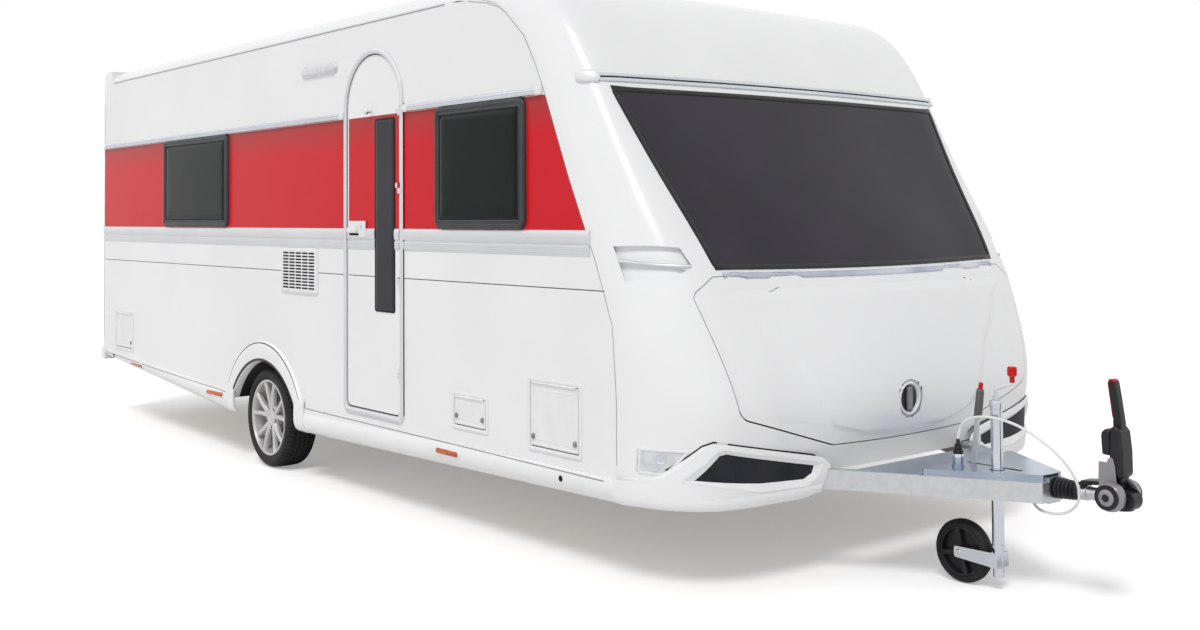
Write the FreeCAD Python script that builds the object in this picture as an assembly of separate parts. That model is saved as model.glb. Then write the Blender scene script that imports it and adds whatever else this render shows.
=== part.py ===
import FreeCAD, Part
import math
import os
from FreeCAD import Vector

# A single-axle travel caravan, standing on its two road wheels and its jockey wheel.
# Millimetres. +X points to the coupling, +Y to the vehicle's left, +Z up.
# The origin is on the ground, in the middle of the vehicle's length and width.

# Body shell
BODY_WIDTH = 2500.0
WALL = 35.0
REAR_WALL_X = -3800.0
ROOF_FRONT_X = 1170.0
ROOF_REAR_X = -3640.0
ROOF_TOP = 2640.0
EAVES_Z = 2545.0
ROOF_EDGE_RADIUS = 95.0
ROOF_CROWN = 15.0
REAR_CORNER_X = -3862.0
REAR_CORNER_RADIUS = 62.0
REAR_MIDDLE_X = -3888.0
REAR_LEAN = 40.0
REAR_TOP_RADIUS = 120.0
REAR_BUMPER_X = -3950.0
REAR_BUMPER_BOTTOM = 430.0
REAR_LAMP_INSET = 165.0
SIDE_FRONT_X = 2395.0
SIDE_BOTTOM_FRONT = 446.0
SIDE_BOTTOM_MIDDLE = 424.0
SIDE_BOTTOM_REAR = 512.0
FLOOR_TOP = 500.0
FLOOR_FRONT_X = 2480.0
LOCKER_WALL_X = 2130.0
LOCKER_SHELF_TOP = 1300.0
LOCKER_BOARD = 20.0
HALF = BODY_WIDTH / 2
INNER_HALF = HALF - WALL

# Chassis
RAIL_TOP = 455.0
RAIL_HEIGHT = 80.0
RAIL_WIDTH = 50.0
RAIL_GAUGE = 4.0
RAIL_CENTRE_Y = 690.0
RAIL_REAR_X = -3600.0
BEAM_REAR_X = 2560.0
BEAM_FRONT_X = 3600.0
BEAM_FRONT_Y = 57.0
RAIL_BOTTOM = RAIL_TOP - RAIL_HEIGHT

# Wheels and axle
AXLE_X = -970.0
TYRE_DIAMETER = 600.0
TYRE_WIDTH = 195.0
RIM_DIAMETER = 440.0
WHEEL_FACE_Y = 1215.0
HUB_FACE_Y = 1130.0
DRUM_DIAMETER = 230.0
DRUM_WIDTH = 62.0
SPINDLE_DIAMETER = 40.0
AXLE_TUBE_DIAMETER = 100.0
AXLE_TUBE_LEAD = 165.0
AXLE_TUBE_LENGTH = 1900.0
ARCH_CENTRE_X = -923.0
ARCH_RADIUS = 559.0
ARCH_TOP = 761.0
ARCH_INNER_RADIUS = 515.0
ARCH_INNER_TOP = 650.0
ARCH_BOX_Y = 950.0
WHEEL_CENTRE_Z = TYRE_DIAMETER / 2
FIT = 0.05

# Coupling and drawbar fittings
COUPLING_Z = 430.0
SHAFT_DIAMETER = 50.0
HOUSING_WIDTH = 80.0
HOUSING_FRONT_X = 3600.0
BELLOWS_LENGTH = 110.0
HEAD_X = 3875.0
HEAD_BACK_X = 3806.0
HEAD_FRONT_X = 3950.0
BALL_DIAMETER = 50.0
COVER_TOP = 482.0
COVER_REAR_X = 3190.0
COVER_FRONT_X = 3590.0

# Jockey wheel
JOCKEY_X = 3405.0
JOCKEY_Y = -100.0
JOCKEY_TUBE_DIAMETER = 48.0
JOCKEY_LEG_DIAMETER = 42.0
JOCKEY_WHEEL_DIAMETER = 258.0
JOCKEY_WHEEL_WIDTH = 60.0
JOCKEY_TRAIL = 163.0
JOCKEY_TUBE_TOP = 760.0
JOCKEY_LEG_TOP = 305.0
JOCKEY_TUBE_BOTTOM = 170.0

# Handbrake lever
BRAKE_X = 3250.0
BRAKE_Y = -48.0
BRAKE_Z = 440.0
BRAKE_CLEAR = 39.0

# Entrance door
DOOR_REAR_X = 121.0
DOOR_FRONT_X = 676.0
DOOR_BOTTOM = 500.0
DOOR_TOP = 2369.0
DOOR_GAP = 6.0
FRAME_BAR = 31.0
HINGE_Y = -HALF - 10.0

# Clearances of hatches and lids
LID_GAP = 5.0
HATCH_BAR = 20.0
HINGE_RADIUS = 5.0
PIN_RADIUS = 2.5

# A corner radius that asks for one long soft bend
BOW = -1.0

# Moulded front panel and bumpers: each station has a point on the vehicle's centre line, a point on
# the side wall's plane, the crown across the width and the radius of the corner.
FRONT_STATIONS = [
    ((ROOF_FRONT_X, ROOF_TOP), (ROOF_FRONT_X, EAVES_Z), ROOF_CROWN, ROOF_EDGE_RADIUS),
    ((1315, 2638.5), (1285, 2539.5), 16, 97),
    ((1460, 2632), (1400, 2528), 18, 100),
    ((1700, 2592), (1590, 2468), 22, 110),
    ((1890, 2505), (1758, 2325), 28, 120),
    ((2055, 2335), (1848, 2184), 34, 130),
    ((2220, 2070), (1925, 2030), 40, 150),
    ((2473, 1669), (2085, 1675), 75, 180),
    ((2725, 1267), (2262, 1325), 100, 220),
    ((2830, 1000), (2372, 1060), 100, 260),
    ((2896, 720), (SIDE_FRONT_X, 760), 105, 300),
    ((2868, 560), (SIDE_FRONT_X, 560), 105, 310),
    ((2835, 440), (SIDE_FRONT_X, 440), 105, 320),
]
BUMPER_PROUD = 22.0
BUMPER_STATIONS = [
    ((2898, 640), (2425, 640), 105, 302),
    ((2896, 560), (2425, 560), 105, 308),
    ((2892, 470), (2425, 470), 105, 310),
    ((2872, 385), (2425, 385), 105, 300),
]
CORNER_ANGLES = (0, 18, 36, 54, 72, 90)
BOW_SHARES = (0.0, 0.4, 0.75)

# Front panel openings, as corner points (y, z, radius) seen from the front
WINDOW_TOP = (HALF - 142, 2066)
WINDOW_BOTTOM = (HALF - 297, 1290)
WINDOW_DROP = 18.0
LID_TOP = (HALF - 299, 1272)
LID_WIDE = (HALF - 166, 1190)
LID_LOW = (HALF - 282, 706)
LID_KINK = (HALF - 800, 551)
LID_BOTTOM = 540.0
LID_HINGE_X = 2630.0
LID_HINGE_Z = 1330.0
LID_SLOPE = (0.43, 0.90)
LID_TOP_X = 2733.0
LID_TOP_SIDE_X = 2652.0
LID_RELIEF_X = 2666.0
LID_RELIEF = 8.0
LID_ARMS = (-150.0, 150.0)
LID_NECK = [(2638, 1322, 0), (2571, 1255, 6), (2587, 1199, 10), (2742, 1143, 0),
            (2742, 1123, 0), (2573, 1183, 10), (2544, 1259, 8), (2622, 1338, 0)]
GRAB_DEPTH = 24.0
GRAB_OUTWARD = (0.62, -0.76, 0.2)
GRAB_CORNERS = [(2360, 15 - HALF, 1386), (2591, 175 - HALF, 1380), (2637, 197 - HALF, 1309),
                (2614, 113 - HALF, 1241), (2433, 17 - HALF, 1244)]
GRAB_BAR = ((2376, 19 - HALF, 1327), (2523, 76 - HALF, 1314), (2642, 194 - HALF, 1304))
LATCH_Z = 707.0
LATCH_RADIUS = 56.0
LATCH_FACE_X = 2884.0

# Side and rear windows: x and z ranges for each side, y and z range at the rear
SIDE_WINDOWS = {
    -1: ((-2532, -1454, 1456, 2050), (1029, 1775, 1454, 2046)),
    1: ((-2532, -1454, 1456, 2050), (-420, 330, 1456, 2050), (1029, 1775, 1454, 2046)),
}
REAR_WINDOW = (-560, 560, 1500, 2000)
WINDOW_BAR = 42.0
WINDOW_REBATE = 12.0
FRAME_PROUD = 22.0

# Service hatches, fridge vent and rooflight
HATCHES = {
    "rear": (-3540, -3150, 531, 829),
    "mid": (1160, 1470, 500, 680),
    "front": (1780, 2170, 480, 805),
}
VENT = (-683, -226, 1078, 1336)
ROOFLIGHT = (-950, -250, -250, 250)
ROOFLIGHT_HINGES = (-170, 130)

# Door hinges and window
HINGE_HEIGHTS = (720, 1190, 1660, 2060)
DOOR_WINDOW = (420, 622, 1020, 2026)

# Skirts: x and the lower edge's height at the two ends of each length
SKIRT_BULGE = 16.0
SKIRT_GAUGE = 16.0
SKIRT_FRONT = (-405.0, 282.0, 2394.0, 338.0)
SKIRT_REAR = (-3740.0, 462.0, -1441.0, 290.0)

# Corner steadies: x, side and heading of the folded leg
STEADY_Y = 860.0
STEADY_Z = 415.0
STEADIES = {
    "steady_front_right": (1700.0, -1, 1), "steady_front_left": (1700.0, 1, 1),
    "steady_rear_right": (-3100.0, -1, -1), "steady_rear_left": (-3100.0, 1, -1),
}

# The coupling cable, from the plug over the drawbar, round the bellows and in under the housing
CABLE_DIAMETER = 11.0
CABLE_ROUTE = [
    (3262, -160, 594.8), (3268, -160, 640), (3304, -158, 680), (3372, -155, 698), (3446, -151, 697),
    (3518, -143, 682), (3580, -132, 655), (3640, -118, 616), (3694, -103, 568), (3732, -88, 514),
    (3752, -74, 456), (3742, -64, 400), (3702, -57, 358), (3648, -52, 338), (3590, -46, 334), (3545, -40, 340),
    (3522, -34, 364.4),
]

os.makedirs("parts", exist_ok=True)


def save(name, shape):
    """Write one sub-part as a STEP file."""
    shape.exportStep("parts/" + name + ".step")


def box(x0, x1, y0, y1, z0, z1):
    return Part.makeBox(x1 - x0, y1 - y0, z1 - z0, Vector(x0, y0, z0))


def rod(centre, direction, radius, length):
    """A round bar from its centre of one end along a direction."""
    return Part.makeCylinder(radius, length, Vector(*centre), Vector(*direction))


def tube(centre, direction, radius, bore, length):
    return rod(centre, direction, radius, length).cut(rod(centre, direction, bore, length))


PLANES = {
    "x": (lambda a, b, d: Vector(d, a, b), Vector(1, 0, 0)),
    "y": (lambda a, b, d: Vector(a, d, b), Vector(0, 1, 0)),
    "z": (lambda a, b, d: Vector(a, b, d), Vector(0, 0, 1)),
}


def outline(points, plane, depth):
    """A closed wire through corner points (a, b, radius); a radius of BOW makes one long soft bend."""
    place = PLANES[plane][0]
    count = len(points)
    corners = []
    for index, (a, b, radius) in enumerate(points):
        here = place(a, b, depth)
        before = place(*points[index - 1][:2], depth)
        after = place(*points[(index + 1) % count][:2], depth)
        towards_before = (before - here).normalize()
        towards_after = (after - here).normalize()
        half_turn = (math.pi - towards_before.getAngle(towards_after)) / 2
        if radius == 0:
            corners.append((here, here, here))
            continue
        if radius == BOW:
            radius = 0.8 * min((before - here).Length, (after - here).Length) / math.tan(half_turn)
        reach = radius * math.tan(half_turn)
        inward = (towards_before + towards_after).normalize()
        middle = here + inward * (radius / math.cos(half_turn) - radius)
        corners.append((here + towards_before * reach, middle, here + towards_after * reach))
    edges = []
    for index, (start, middle, end) in enumerate(corners):
        if start != end:
            edges.append(Part.Arc(start, middle, end).toShape())
        following = corners[(index + 1) % count][0]
        if (following - end).Length > 1e-6:
            edges.append(Part.LineSegment(end, following).toShape())
    return Part.Wire(edges)


def slab(points, plane, low, high):
    """The outline extruded between two depths along its plane's normal."""
    face = Part.Face(outline(points, plane, low))
    return face.extrude(PLANES[plane][1] * (high - low))


def rectangle(a0, a1, b0, b1, radius):
    return [(a0, b0, radius), (a1, b0, radius), (a1, b1, radius), (a0, b1, radius)]


def both_sides(maker):
    """Names and shapes of a right-hand and a left-hand piece."""
    return (("right", maker(-1)), ("left", maker(1)))


def mirrored(shape):
    return shape.mirror(Vector(0, 0, 0), Vector(0, 1, 0))


def for_side(shape, side):
    """A shape drawn on the right-hand side, moved to the side asked for."""
    return shape if side < 0 else mirrored(shape)


def section(station, half_width, inset, normal):
    """Points across the panel at one station, from the right-hand side to the left."""
    (cx, cz), (sx, sz), crown, radius = station
    centre = Vector(cx - normal[0] * inset, 0, cz - normal[1] * inset)
    side = Vector(sx, 0, sz)
    depth = (side - centre).Length
    inward = (side - centre).normalize()
    radius = max(radius - inset, 10)
    flat = half_width - radius
    places = [(flat * share, 0.0) for share in BOW_SHARES]
    for angle in CORNER_ANGLES:
        turn = math.radians(angle)
        places.append((flat + radius * math.sin(turn), (depth - crown) * (1 - math.cos(turn))))
    half = [(y, crown * (y / half_width) ** 2 + drop) for y, drop in places]
    row = [centre + inward * drop + Vector(0, -y, 0) for y, drop in reversed(half)]
    row += [centre + inward * drop + Vector(0, y, 0) for y, drop in half[1:]]
    return row


def profile_normals(stations):
    """Outward unit normals of the centre-line profile."""
    normals = []
    last = len(stations) - 1
    for index in range(len(stations)):
        ax, az = stations[max(index - 1, 0)][0]
        bx, bz = stations[min(index + 1, last)][0]
        length = math.hypot(bx - ax, bz - az)
        normals.append((-(bz - az) / length, (bx - ax) / length))
    normals[0] = (0.0, 1.0)
    return normals


def skin(stations, half_width, inset, outward):
    normals = [(nx * outward, nz * outward) for nx, nz in profile_normals(stations)]
    normals[0] = (0.0, 1.0)
    rows = [section(s, half_width, inset, n) for s, n in zip(stations, normals)]
    surface = Part.BSplineSurface()
    surface.interpolate(rows)
    return surface


def edge_of(surface, side):
    """One boundary edge of a skin: its first or last row, or its right-hand or left-hand side."""
    u0, u1, v0, v1 = surface.bounds()
    curve = {
        "first": lambda: surface.uIso(u0),
        "last": lambda: surface.uIso(u1),
        "right": lambda: surface.vIso(v0),
        "left": lambda: surface.vIso(v1),
    }[side]()
    return curve.toShape()


def moulded_shell(stations, thickness, outward, half_width=HALF):
    """A wall of even thickness between an outer skin and the same skin set inwards."""
    outer = skin(stations, half_width, 0.0, outward)
    inner = skin(stations, half_width - thickness, thickness, outward)
    faces = [outer.toShape(), inner.toShape()]
    for side in ("first", "last", "right", "left"):
        faces.append(Part.makeRuledSurface(edge_of(outer, side), edge_of(inner, side)))
    shell = Part.makeShell(faces)
    shell.sewShape()
    solid = Part.Solid(shell)
    if solid.Volume < 0:
        solid.reverse()
    return solid


def window_outline(grow):
    (ty, tz), (by, bz) = WINDOW_TOP, WINDOW_BOTTOM
    ty, by, tz, bz = ty + grow, by + grow, tz + grow, bz - grow
    return [
        (-ty, tz, 25), (0, tz + 8, BOW), (ty, tz, 25),
        (by, bz, 30), (0, bz - WINDOW_DROP, BOW), (-by, bz, 30),
    ]


def lid_outline(grow):
    """The locker lid's sides and bottom; its top is cut separately, so it runs on upwards here."""
    wide = LID_WIDE[0] + grow
    lift = 0.56 * grow
    corners = [
        (wide, LID_WIDE[1] + lift, 40), (LID_LOW[0] + grow, LID_LOW[1] - grow, 70),
        (LID_KINK[0] + grow, LID_KINK[1] - grow, 40), (0, LID_BOTTOM - grow, BOW),
    ]
    top_y = LID_TOP[0] + grow
    rise = 220.0
    slope = (LID_WIDE[0] - LID_TOP[0]) / (LID_TOP[1] - LID_WIDE[1])
    above = top_y - slope * (rise - lift)
    right = [(y, z, r) for y, z, r in corners]
    left = [(-y, z, r) for y, z, r in reversed(corners[:3])]
    return [(above, LID_TOP[1] + rise, 0)] + right + left + [(-above, LID_TOP[1] + rise, 0)]


def lid_cutter(grow):
    """The block that cuts the lid out of the front panel, its top edge sloped as the lid swings."""
    prism = slab(lid_outline(grow), "x", 2200, 3050)
    low = LID_BOTTOM - 60
    height = LID_TOP[1] + 60 - low
    slope = LID_SLOPE[0] / LID_SLOPE[1]
    shift = slope * (LID_TOP[1] - low)
    start = Vector(LID_TOP_SIDE_X - grow - shift, -HALF, low)
    middle = Vector(LID_TOP_X - grow - shift, 0, low)
    end = Vector(LID_TOP_SIDE_X - grow - shift, HALF, low)
    far_end = Vector(3100, HALF, low)
    far_start = Vector(3100, -HALF, low)
    arc = Part.Arc(start, middle, end).toShape()
    lines = [Part.makeLine(end, far_end), Part.makeLine(far_end, far_start), Part.makeLine(far_start, start)]
    front = Part.Face(Part.Wire([arc] + lines)).extrude(Vector(slope * height, 0, height))
    return prism.common(front)


def seam_points():
    """The side wall's front edge, from the roof down, as the front panel's stations have it."""
    return [Vector(side[0], 0, side[1]) for _, side, _, _ in FRONT_STATIONS]


def arch_foot():
    """Half the wheel arch's width at the side wall's lower edge."""
    return math.sqrt(ARCH_RADIUS ** 2 - (SIDE_BOTTOM_MIDDLE - ARCH_TOP + ARCH_RADIUS) ** 2)


def side_panel_face():
    """The flat side panel: round rear top corner, sloped front edge and stepped bottom."""
    radius = 100.0
    corner = radius * (1 - math.sqrt(0.5))
    rear, top = REAR_WALL_X, EAVES_Z
    seam = Part.BSplineCurve()
    seam.interpolate(seam_points())
    arch_half = arch_foot()
    a = Vector(rear, 0, SIDE_BOTTOM_REAR)
    b = Vector(rear, 0, top - radius)
    c = Vector(rear + radius, 0, top)
    d = Vector(ROOF_FRONT_X, 0, top)
    e = Vector(SIDE_FRONT_X, 0, FRONT_STATIONS[-1][1][1])
    f = Vector(ARCH_CENTRE_X + arch_half, 0, SIDE_BOTTOM_MIDDLE)
    crown = Vector(ARCH_CENTRE_X, 0, ARCH_TOP)
    g = Vector(ARCH_CENTRE_X - arch_half, 0, SIDE_BOTTOM_MIDDLE)
    edges = [
        Part.makeLine(a, b),
        Part.Arc(b, Vector(rear + corner, 0, top - corner), c).toShape(),
        Part.makeLine(c, d), seam.toShape(), Part.makeLine(e, f),
        Part.Arc(f, crown, g).toShape(), Part.makeLine(g, a),
    ]
    return Part.Face(Part.Wire(edges))


def door_outline(grow):
    """The entrance door's outline with its round arch, grown outwards by a margin."""
    x0, x1 = DOOR_REAR_X - grow, DOOR_FRONT_X + grow
    radius = (x1 - x0) / 2
    return [
        (x0, DOOR_BOTTOM - grow, 40), (x1, DOOR_BOTTOM - grow, 40),
        (x1, DOOR_TOP + grow, radius - 0.01), (x0, DOOR_TOP + grow, radius - 0.01),
    ]


def side_wall(side):
    """One side wall with its windows, hatches, vent and, on the right, the doorway cut out."""
    wall = side_panel_face()
    wall.translate(Vector(0, -HALF, 0))
    wall = wall.extrude(Vector(0, WALL, 0))
    low, high = -HALF - 10, -INNER_HALF + 10
    cuts = []
    for x0, x1, z0, z1 in SIDE_WINDOWS[side]:
        m = WINDOW_REBATE
        cuts.append(slab(rectangle(x0 + m, x1 - m, z0 + m, z1 - m, 40), "y", low, high))
    if side < 0:
        cuts.append(slab(door_outline(DOOR_GAP + FRAME_BAR), "y", low, high))
        for x0, x1, z0, z1 in HATCHES.values():
            cuts.append(slab(rectangle(x0, x1, z0, z1, 18), "y", low, high))
        x0, x1, z0, z1 = VENT
        cuts.append(box(x0 + 20, x1 - 20, low, high, z0 + 20, z1 - 20))
    for cutter in cuts:
        wall = wall.cut(cutter)
    return for_side(wall, side)


def roof_row(inset):
    """Points across the roof's section at its front end."""
    station = ((ROOF_FRONT_X, ROOF_TOP), (ROOF_FRONT_X, EAVES_Z), ROOF_CROWN, ROOF_EDGE_RADIUS)
    return section(station, HALF - inset, inset, (0.0, 1.0))


def roof_panel():
    """The crowned roof between the front and rear panels, with the rooflight opening."""
    outer_row, inner_row = roof_row(0.0), roof_row(WALL)
    curves = []
    for row in (outer_row, inner_row):
        curve = Part.BSplineCurve()
        curve.interpolate(row)
        curves.append(curve.toShape())
    closing = [Part.makeLine(outer_row[0], inner_row[0]), Part.makeLine(outer_row[-1], inner_row[-1])]
    face = Part.Face(Part.Wire(Part.__sortEdges__(curves + closing)))
    roof = face.extrude(Vector(ROOF_REAR_X - ROOF_FRONT_X, 0, 0))
    x0, x1, y0, y1 = ROOFLIGHT
    return roof.cut(box(x0, x1, y0, y1, ROOF_TOP - 120, ROOF_TOP + 50))


def rear_block(inset, drop):
    """The body's rounded rear end as a solid block, set inwards by a margin."""
    front = ROOF_REAR_X
    half = HALF - inset
    bow = [(front, -half, 0), (REAR_CORNER_X + inset, -half, REAR_CORNER_RADIUS - inset),
           (REAR_MIDDLE_X + inset, 0, BOW), (REAR_CORNER_X + inset, half, REAR_CORNER_RADIUS - inset),
           (front, half, 0)]
    plan = slab(bow, "z", SIDE_BOTTOM_REAR - drop, ROOF_TOP + 10)
    foot = REAR_MIDDLE_X + inset - 5
    side = [(front, SIDE_BOTTOM_REAR - drop, 0), (foot, SIDE_BOTTOM_REAR - drop, 0),
            (foot + REAR_LEAN, ROOF_TOP - inset, REAR_TOP_RADIUS - inset), (front, ROOF_TOP - inset, 0)]
    block = plan.common(slab(side, "y", -half, half))
    row = roof_row(inset)
    curve = Part.BSplineCurve()
    curve.interpolate(row)
    low_right = Vector(row[0].x, row[0].y, SIDE_BOTTOM_REAR - drop - 1)
    low_left = Vector(row[-1].x, row[-1].y, SIDE_BOTTOM_REAR - drop - 1)
    lines = [Part.makeLine(row[-1], low_left), Part.makeLine(low_left, low_right), Part.makeLine(low_right, row[0])]
    arch = Part.Face(Part.Wire([curve.toShape()] + lines))
    return block.common(arch.extrude(Vector(REAR_MIDDLE_X - ROOF_FRONT_X - 50, 0, 0)))


def rear_wall():
    """The rear panel, rounded at its top and its two corners."""
    wall = rear_block(0.0, 0.0).cut(rear_block(WALL, 5.0))
    body = side_panel_face().extrude(Vector(0, 2 * HALF, 0))
    body.translate(Vector(0, -HALF, 0))
    wall = wall.cut(body)
    y0, y1, z0, z1 = REAR_WINDOW
    m = WINDOW_REBATE
    hole = slab(rectangle(y0 + m, y1 - m, z0 + m, z1 - m, 40), "y", -HALF - 60, -INNER_HALF + 60)
    return wall.cut(turned_to_rear(hole))


def floor_panel(shell):
    """The floor, notched round the two wheel boxes and trimmed to the front panel."""
    front, wide, narrow = FLOOR_FRONT_X, HALF - 370, HALF - 430
    floor = box(REAR_WALL_X + 2, front, -INNER_HALF, INNER_HALF, RAIL_TOP, FLOOR_TOP)
    nose = slab([(front, -wide, 0), (front + 220, -narrow, 60), (front + 220, narrow, 60), (front, wide, 0)],
                "z", RAIL_TOP, FLOOR_TOP)
    floor = floor.fuse(nose).cut(shell).removeSplitter()
    for side in (-1, 1):
        notch = box(ARCH_CENTRE_X - ARCH_INNER_RADIUS, ARCH_CENTRE_X + ARCH_INNER_RADIUS,
                    -INNER_HALF - 1, -ARCH_BOX_Y, RAIL_TOP - 1, FLOOR_TOP + 1)
        floor = floor.cut(for_side(notch, side))
    return floor


def bulkhead():
    """The inner wall behind the gas locker and the shelf that closes its top."""
    back, face, front = LOCKER_WALL_X, LOCKER_WALL_X + LOCKER_BOARD, LID_HINGE_X - 70
    wall = box(back, face, -INNER_HALF + 40, INNER_HALF - 40, FLOOR_TOP, LOCKER_SHELF_TOP)
    wide, narrow = HALF - 250, HALF - 370
    shelf = slab([(face, -wide, 0), (front, -narrow, 0), (front, narrow, 0), (face, wide, 0)],
                 "z", LOCKER_SHELF_TOP - LOCKER_BOARD, LOCKER_SHELF_TOP)
    return wall.fuse([shelf] + lid_brackets()).removeSplitter()


def front_shell():
    return moulded_shell(FRONT_STATIONS, WALL, 1)


def grab_prism():
    """The block that cuts the right-hand grab recess, square to the panel's corner there."""
    outward = Vector(*GRAB_OUTWARD).normalize()
    corners = [Vector(*corner) for corner in GRAB_CORNERS]
    level = corners[0].dot(outward) - 90
    flat = [corner - outward * (corner.dot(outward) - level) for corner in corners]
    return Part.Face(Part.makePolygon(flat + flat[:1])).extrude(outward * 190)


def grab_recess():
    """The right-hand grab recess, of even depth under the panel's skin."""
    return moulded_shell(FRONT_STATIONS, GRAB_DEPTH, 1).common(grab_prism())


def grab_handles():
    """The bar across each grab recess."""
    start, middle, end = [Vector(*point) for point in GRAB_BAR]
    path = Part.Wire(Part.Arc(start, middle, end).toShape())
    heading = path.Edges[0].tangentAt(path.Edges[0].FirstParameter)
    ring = Part.Wire(Part.makeCircle(8, start, heading))
    bar = path.makePipeShell([ring], True, False).common(grab_prism())
    return Part.makeCompound([bar, mirrored(bar)])


def front_panel(shell):
    """The moulded front with its window, locker opening, grab recesses and lamp pockets cut out."""
    panel = shell.cut(slab(window_outline(0.0), "x", 1800, 3000)).cut(lid_cutter(LID_GAP))
    for pocket in (slab(lamp_outline(), "x", 2300, 3000), grab_recess(), beam_room()[0]):
        panel = panel.cut(pocket).cut(mirrored(pocket))
    return panel


def window_frame(x0, x1, z0, z1):
    """An outer window frame on the right-hand wall: proud flange and sleeve through the wall."""
    m = WINDOW_REBATE
    flange = slab(rectangle(x0, x1, z0, z1, 45), "y", -HALF - FRAME_PROUD, -HALF)
    sleeve = slab(rectangle(x0 + m, x1 - m, z0 + m, z1 - m, 40), "y", -HALF, -INNER_HALF)
    b = WINDOW_BAR
    hole = slab(rectangle(x0 + b, x1 - b, z0 + b, z1 - b, 30), "y", -HALF - 40, -INNER_HALF + 5)
    return flange.fuse(sleeve).cut(hole).removeSplitter()


def window_pane(x0, x1, z0, z1):
    b = WINDOW_BAR
    return slab(rectangle(x0 + b, x1 - b, z0 + b, z1 - b, 30), "y", -HALF - 14, -HALF + 12)


def turned_to_rear(shape):
    """A piece drawn on the right-hand wall, turned to the leaning rear wall."""
    foot = REAR_MIDDLE_X - 5
    lean = math.degrees(math.atan2(REAR_LEAN, ROOF_TOP - SIDE_BOTTOM_REAR))
    shape.rotate(Vector(0, 0, 0), Vector(0, 0, 1), -90)
    shape.translate(Vector(foot + HALF, 0, 0))
    shape.rotate(Vector(foot, 0, SIDE_BOTTOM_REAR), Vector(0, 1, 0), lean)
    return shape


def all_windows(maker):
    pieces = []
    for side in (-1, 1):
        for window in SIDE_WINDOWS[side]:
            pieces.append(for_side(maker(*window), side))
    y0, y1, z0, z1 = REAR_WINDOW
    pieces.append(turned_to_rear(maker(-y1, -y0, z0, z1)))
    return Part.makeCompound(pieces)


def door_frame():
    """The arched frame round the entrance door, with the fixed halves of its four hinges."""
    outer = slab(door_outline(DOOR_GAP + FRAME_BAR), "y", -HALF - 8, -INNER_HALF)
    inner = slab(door_outline(DOOR_GAP), "y", -HALF - 20, -INNER_HALF + 10)
    frame = outer.cut(inner)
    for z in HINGE_HEIGHTS:
        frame = frame.cut(rod((DOOR_FRONT_X, HINGE_Y, z - 0.5), (0, 0, 1), 9, 28.5))
        leaf = box(DOOR_FRONT_X + 1, DOOR_FRONT_X + 30, -HALF - 14, -HALF - 8, z - 28, z - 1)
        knuckle = tube((DOOR_FRONT_X, HINGE_Y, z - 28), (0, 0, 1), 8, 4, 27)
        pin = rod((DOOR_FRONT_X, HINGE_Y, z - 28), (0, 0, 1), 4, 50)
        link = box(DOOR_FRONT_X + 6.5, DOOR_FRONT_X + 12, -HALF - 14, -HALF - 8, z - 28, z - 1)
        frame = frame.fuse([leaf, knuckle, pin, link])
    return frame.removeSplitter()


def entrance_door():
    """The door leaf with its narrow window opening and the moving halves of its hinges."""
    leaf = slab(door_outline(0), "y", -HALF, -INNER_HALF)
    leaf = leaf.cut(slab(rectangle(*DOOR_WINDOW, 14), "y", -HALF - 10, -INNER_HALF + 10))
    for z in HINGE_HEIGHTS:
        arm = box(DOOR_FRONT_X - 34, DOOR_FRONT_X - 2, -HALF - 9, -HALF, z, z + 27)
        knuckle = tube((DOOR_FRONT_X, HINGE_Y, z), (0, 0, 1), 8, 4 + FIT, 27)
        bore = rod((DOOR_FRONT_X, HINGE_Y, z - 1), (0, 0, 1), 4 + FIT, 30)
        leaf = leaf.fuse([arm, knuckle]).cut(bore)
    return leaf.removeSplitter()


def door_handle():
    plate = slab(rectangle(141, 325, 1410, 1490, 16), "y", -HALF - 12, -HALF)
    grip = slab(rectangle(160, 300, 1436, 1470, 14), "y", -HALF - 30, -HALF - 12)
    return plate.fuse(grip)


def hatch_hinge(x0, x1, z1):
    """A hatch's hinge line: its two ends along X, its Y and its Z."""
    inset = HATCH_BAR + LID_GAP + 12
    return x0 + inset, x1 - inset, -HALF - 6, z1 - HATCH_BAR - 3


def hatch_frame(x0, x1, z0, z1):
    """A hatch's frame with the hinge pin along its top bar, held in a knuckle at each end."""
    outer = slab(rectangle(x0, x1, z0, z1, 18), "y", -HALF - 4, -INNER_HALF)
    b = HATCH_BAR
    hole = slab(rectangle(x0 + b, x1 - b, z0 + b, z1 - b, 10), "y", -HALF - 10, -INNER_HALF + 10)
    start, end, y, z = hatch_hinge(x0, x1, z1)
    frame = outer.cut(hole).cut(rod((start + 14, y, z), (1, 0, 0), HINGE_RADIUS + 1.5, end - start - 28))
    knuckles = [rod((x, y, z), (1, 0, 0), HINGE_RADIUS, 14) for x in (start, end - 14)]
    pin = rod((start, y, z), (1, 0, 0), PIN_RADIUS, end - start)
    return frame.fuse(knuckles + [pin]).removeSplitter()


def hatch_lid(x0, x1, z0, z1):
    """A service hatch's lid, hung from its top edge."""
    m = HATCH_BAR + LID_GAP
    lid = slab(rectangle(x0 + m, x1 - m, z0 + m, z1 - m, 8), "y", -HALF - 2, -HALF + 22)
    start, end, y, z = hatch_hinge(x0, x1, z1)
    for x in (start, end - 14):
        lid = lid.cut(box(x - 2, x + 16, -HALF - 10, -HALF + 4, z - 9, z + 9))
    barrel = rod((start + 15, y, z), (1, 0, 0), HINGE_RADIUS, end - start - 30)
    bore = rod((start - 5, y, z), (1, 0, 0), PIN_RADIUS + FIT, end - start + 10)
    return lid.fuse(barrel).cut(bore).removeSplitter()


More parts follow.
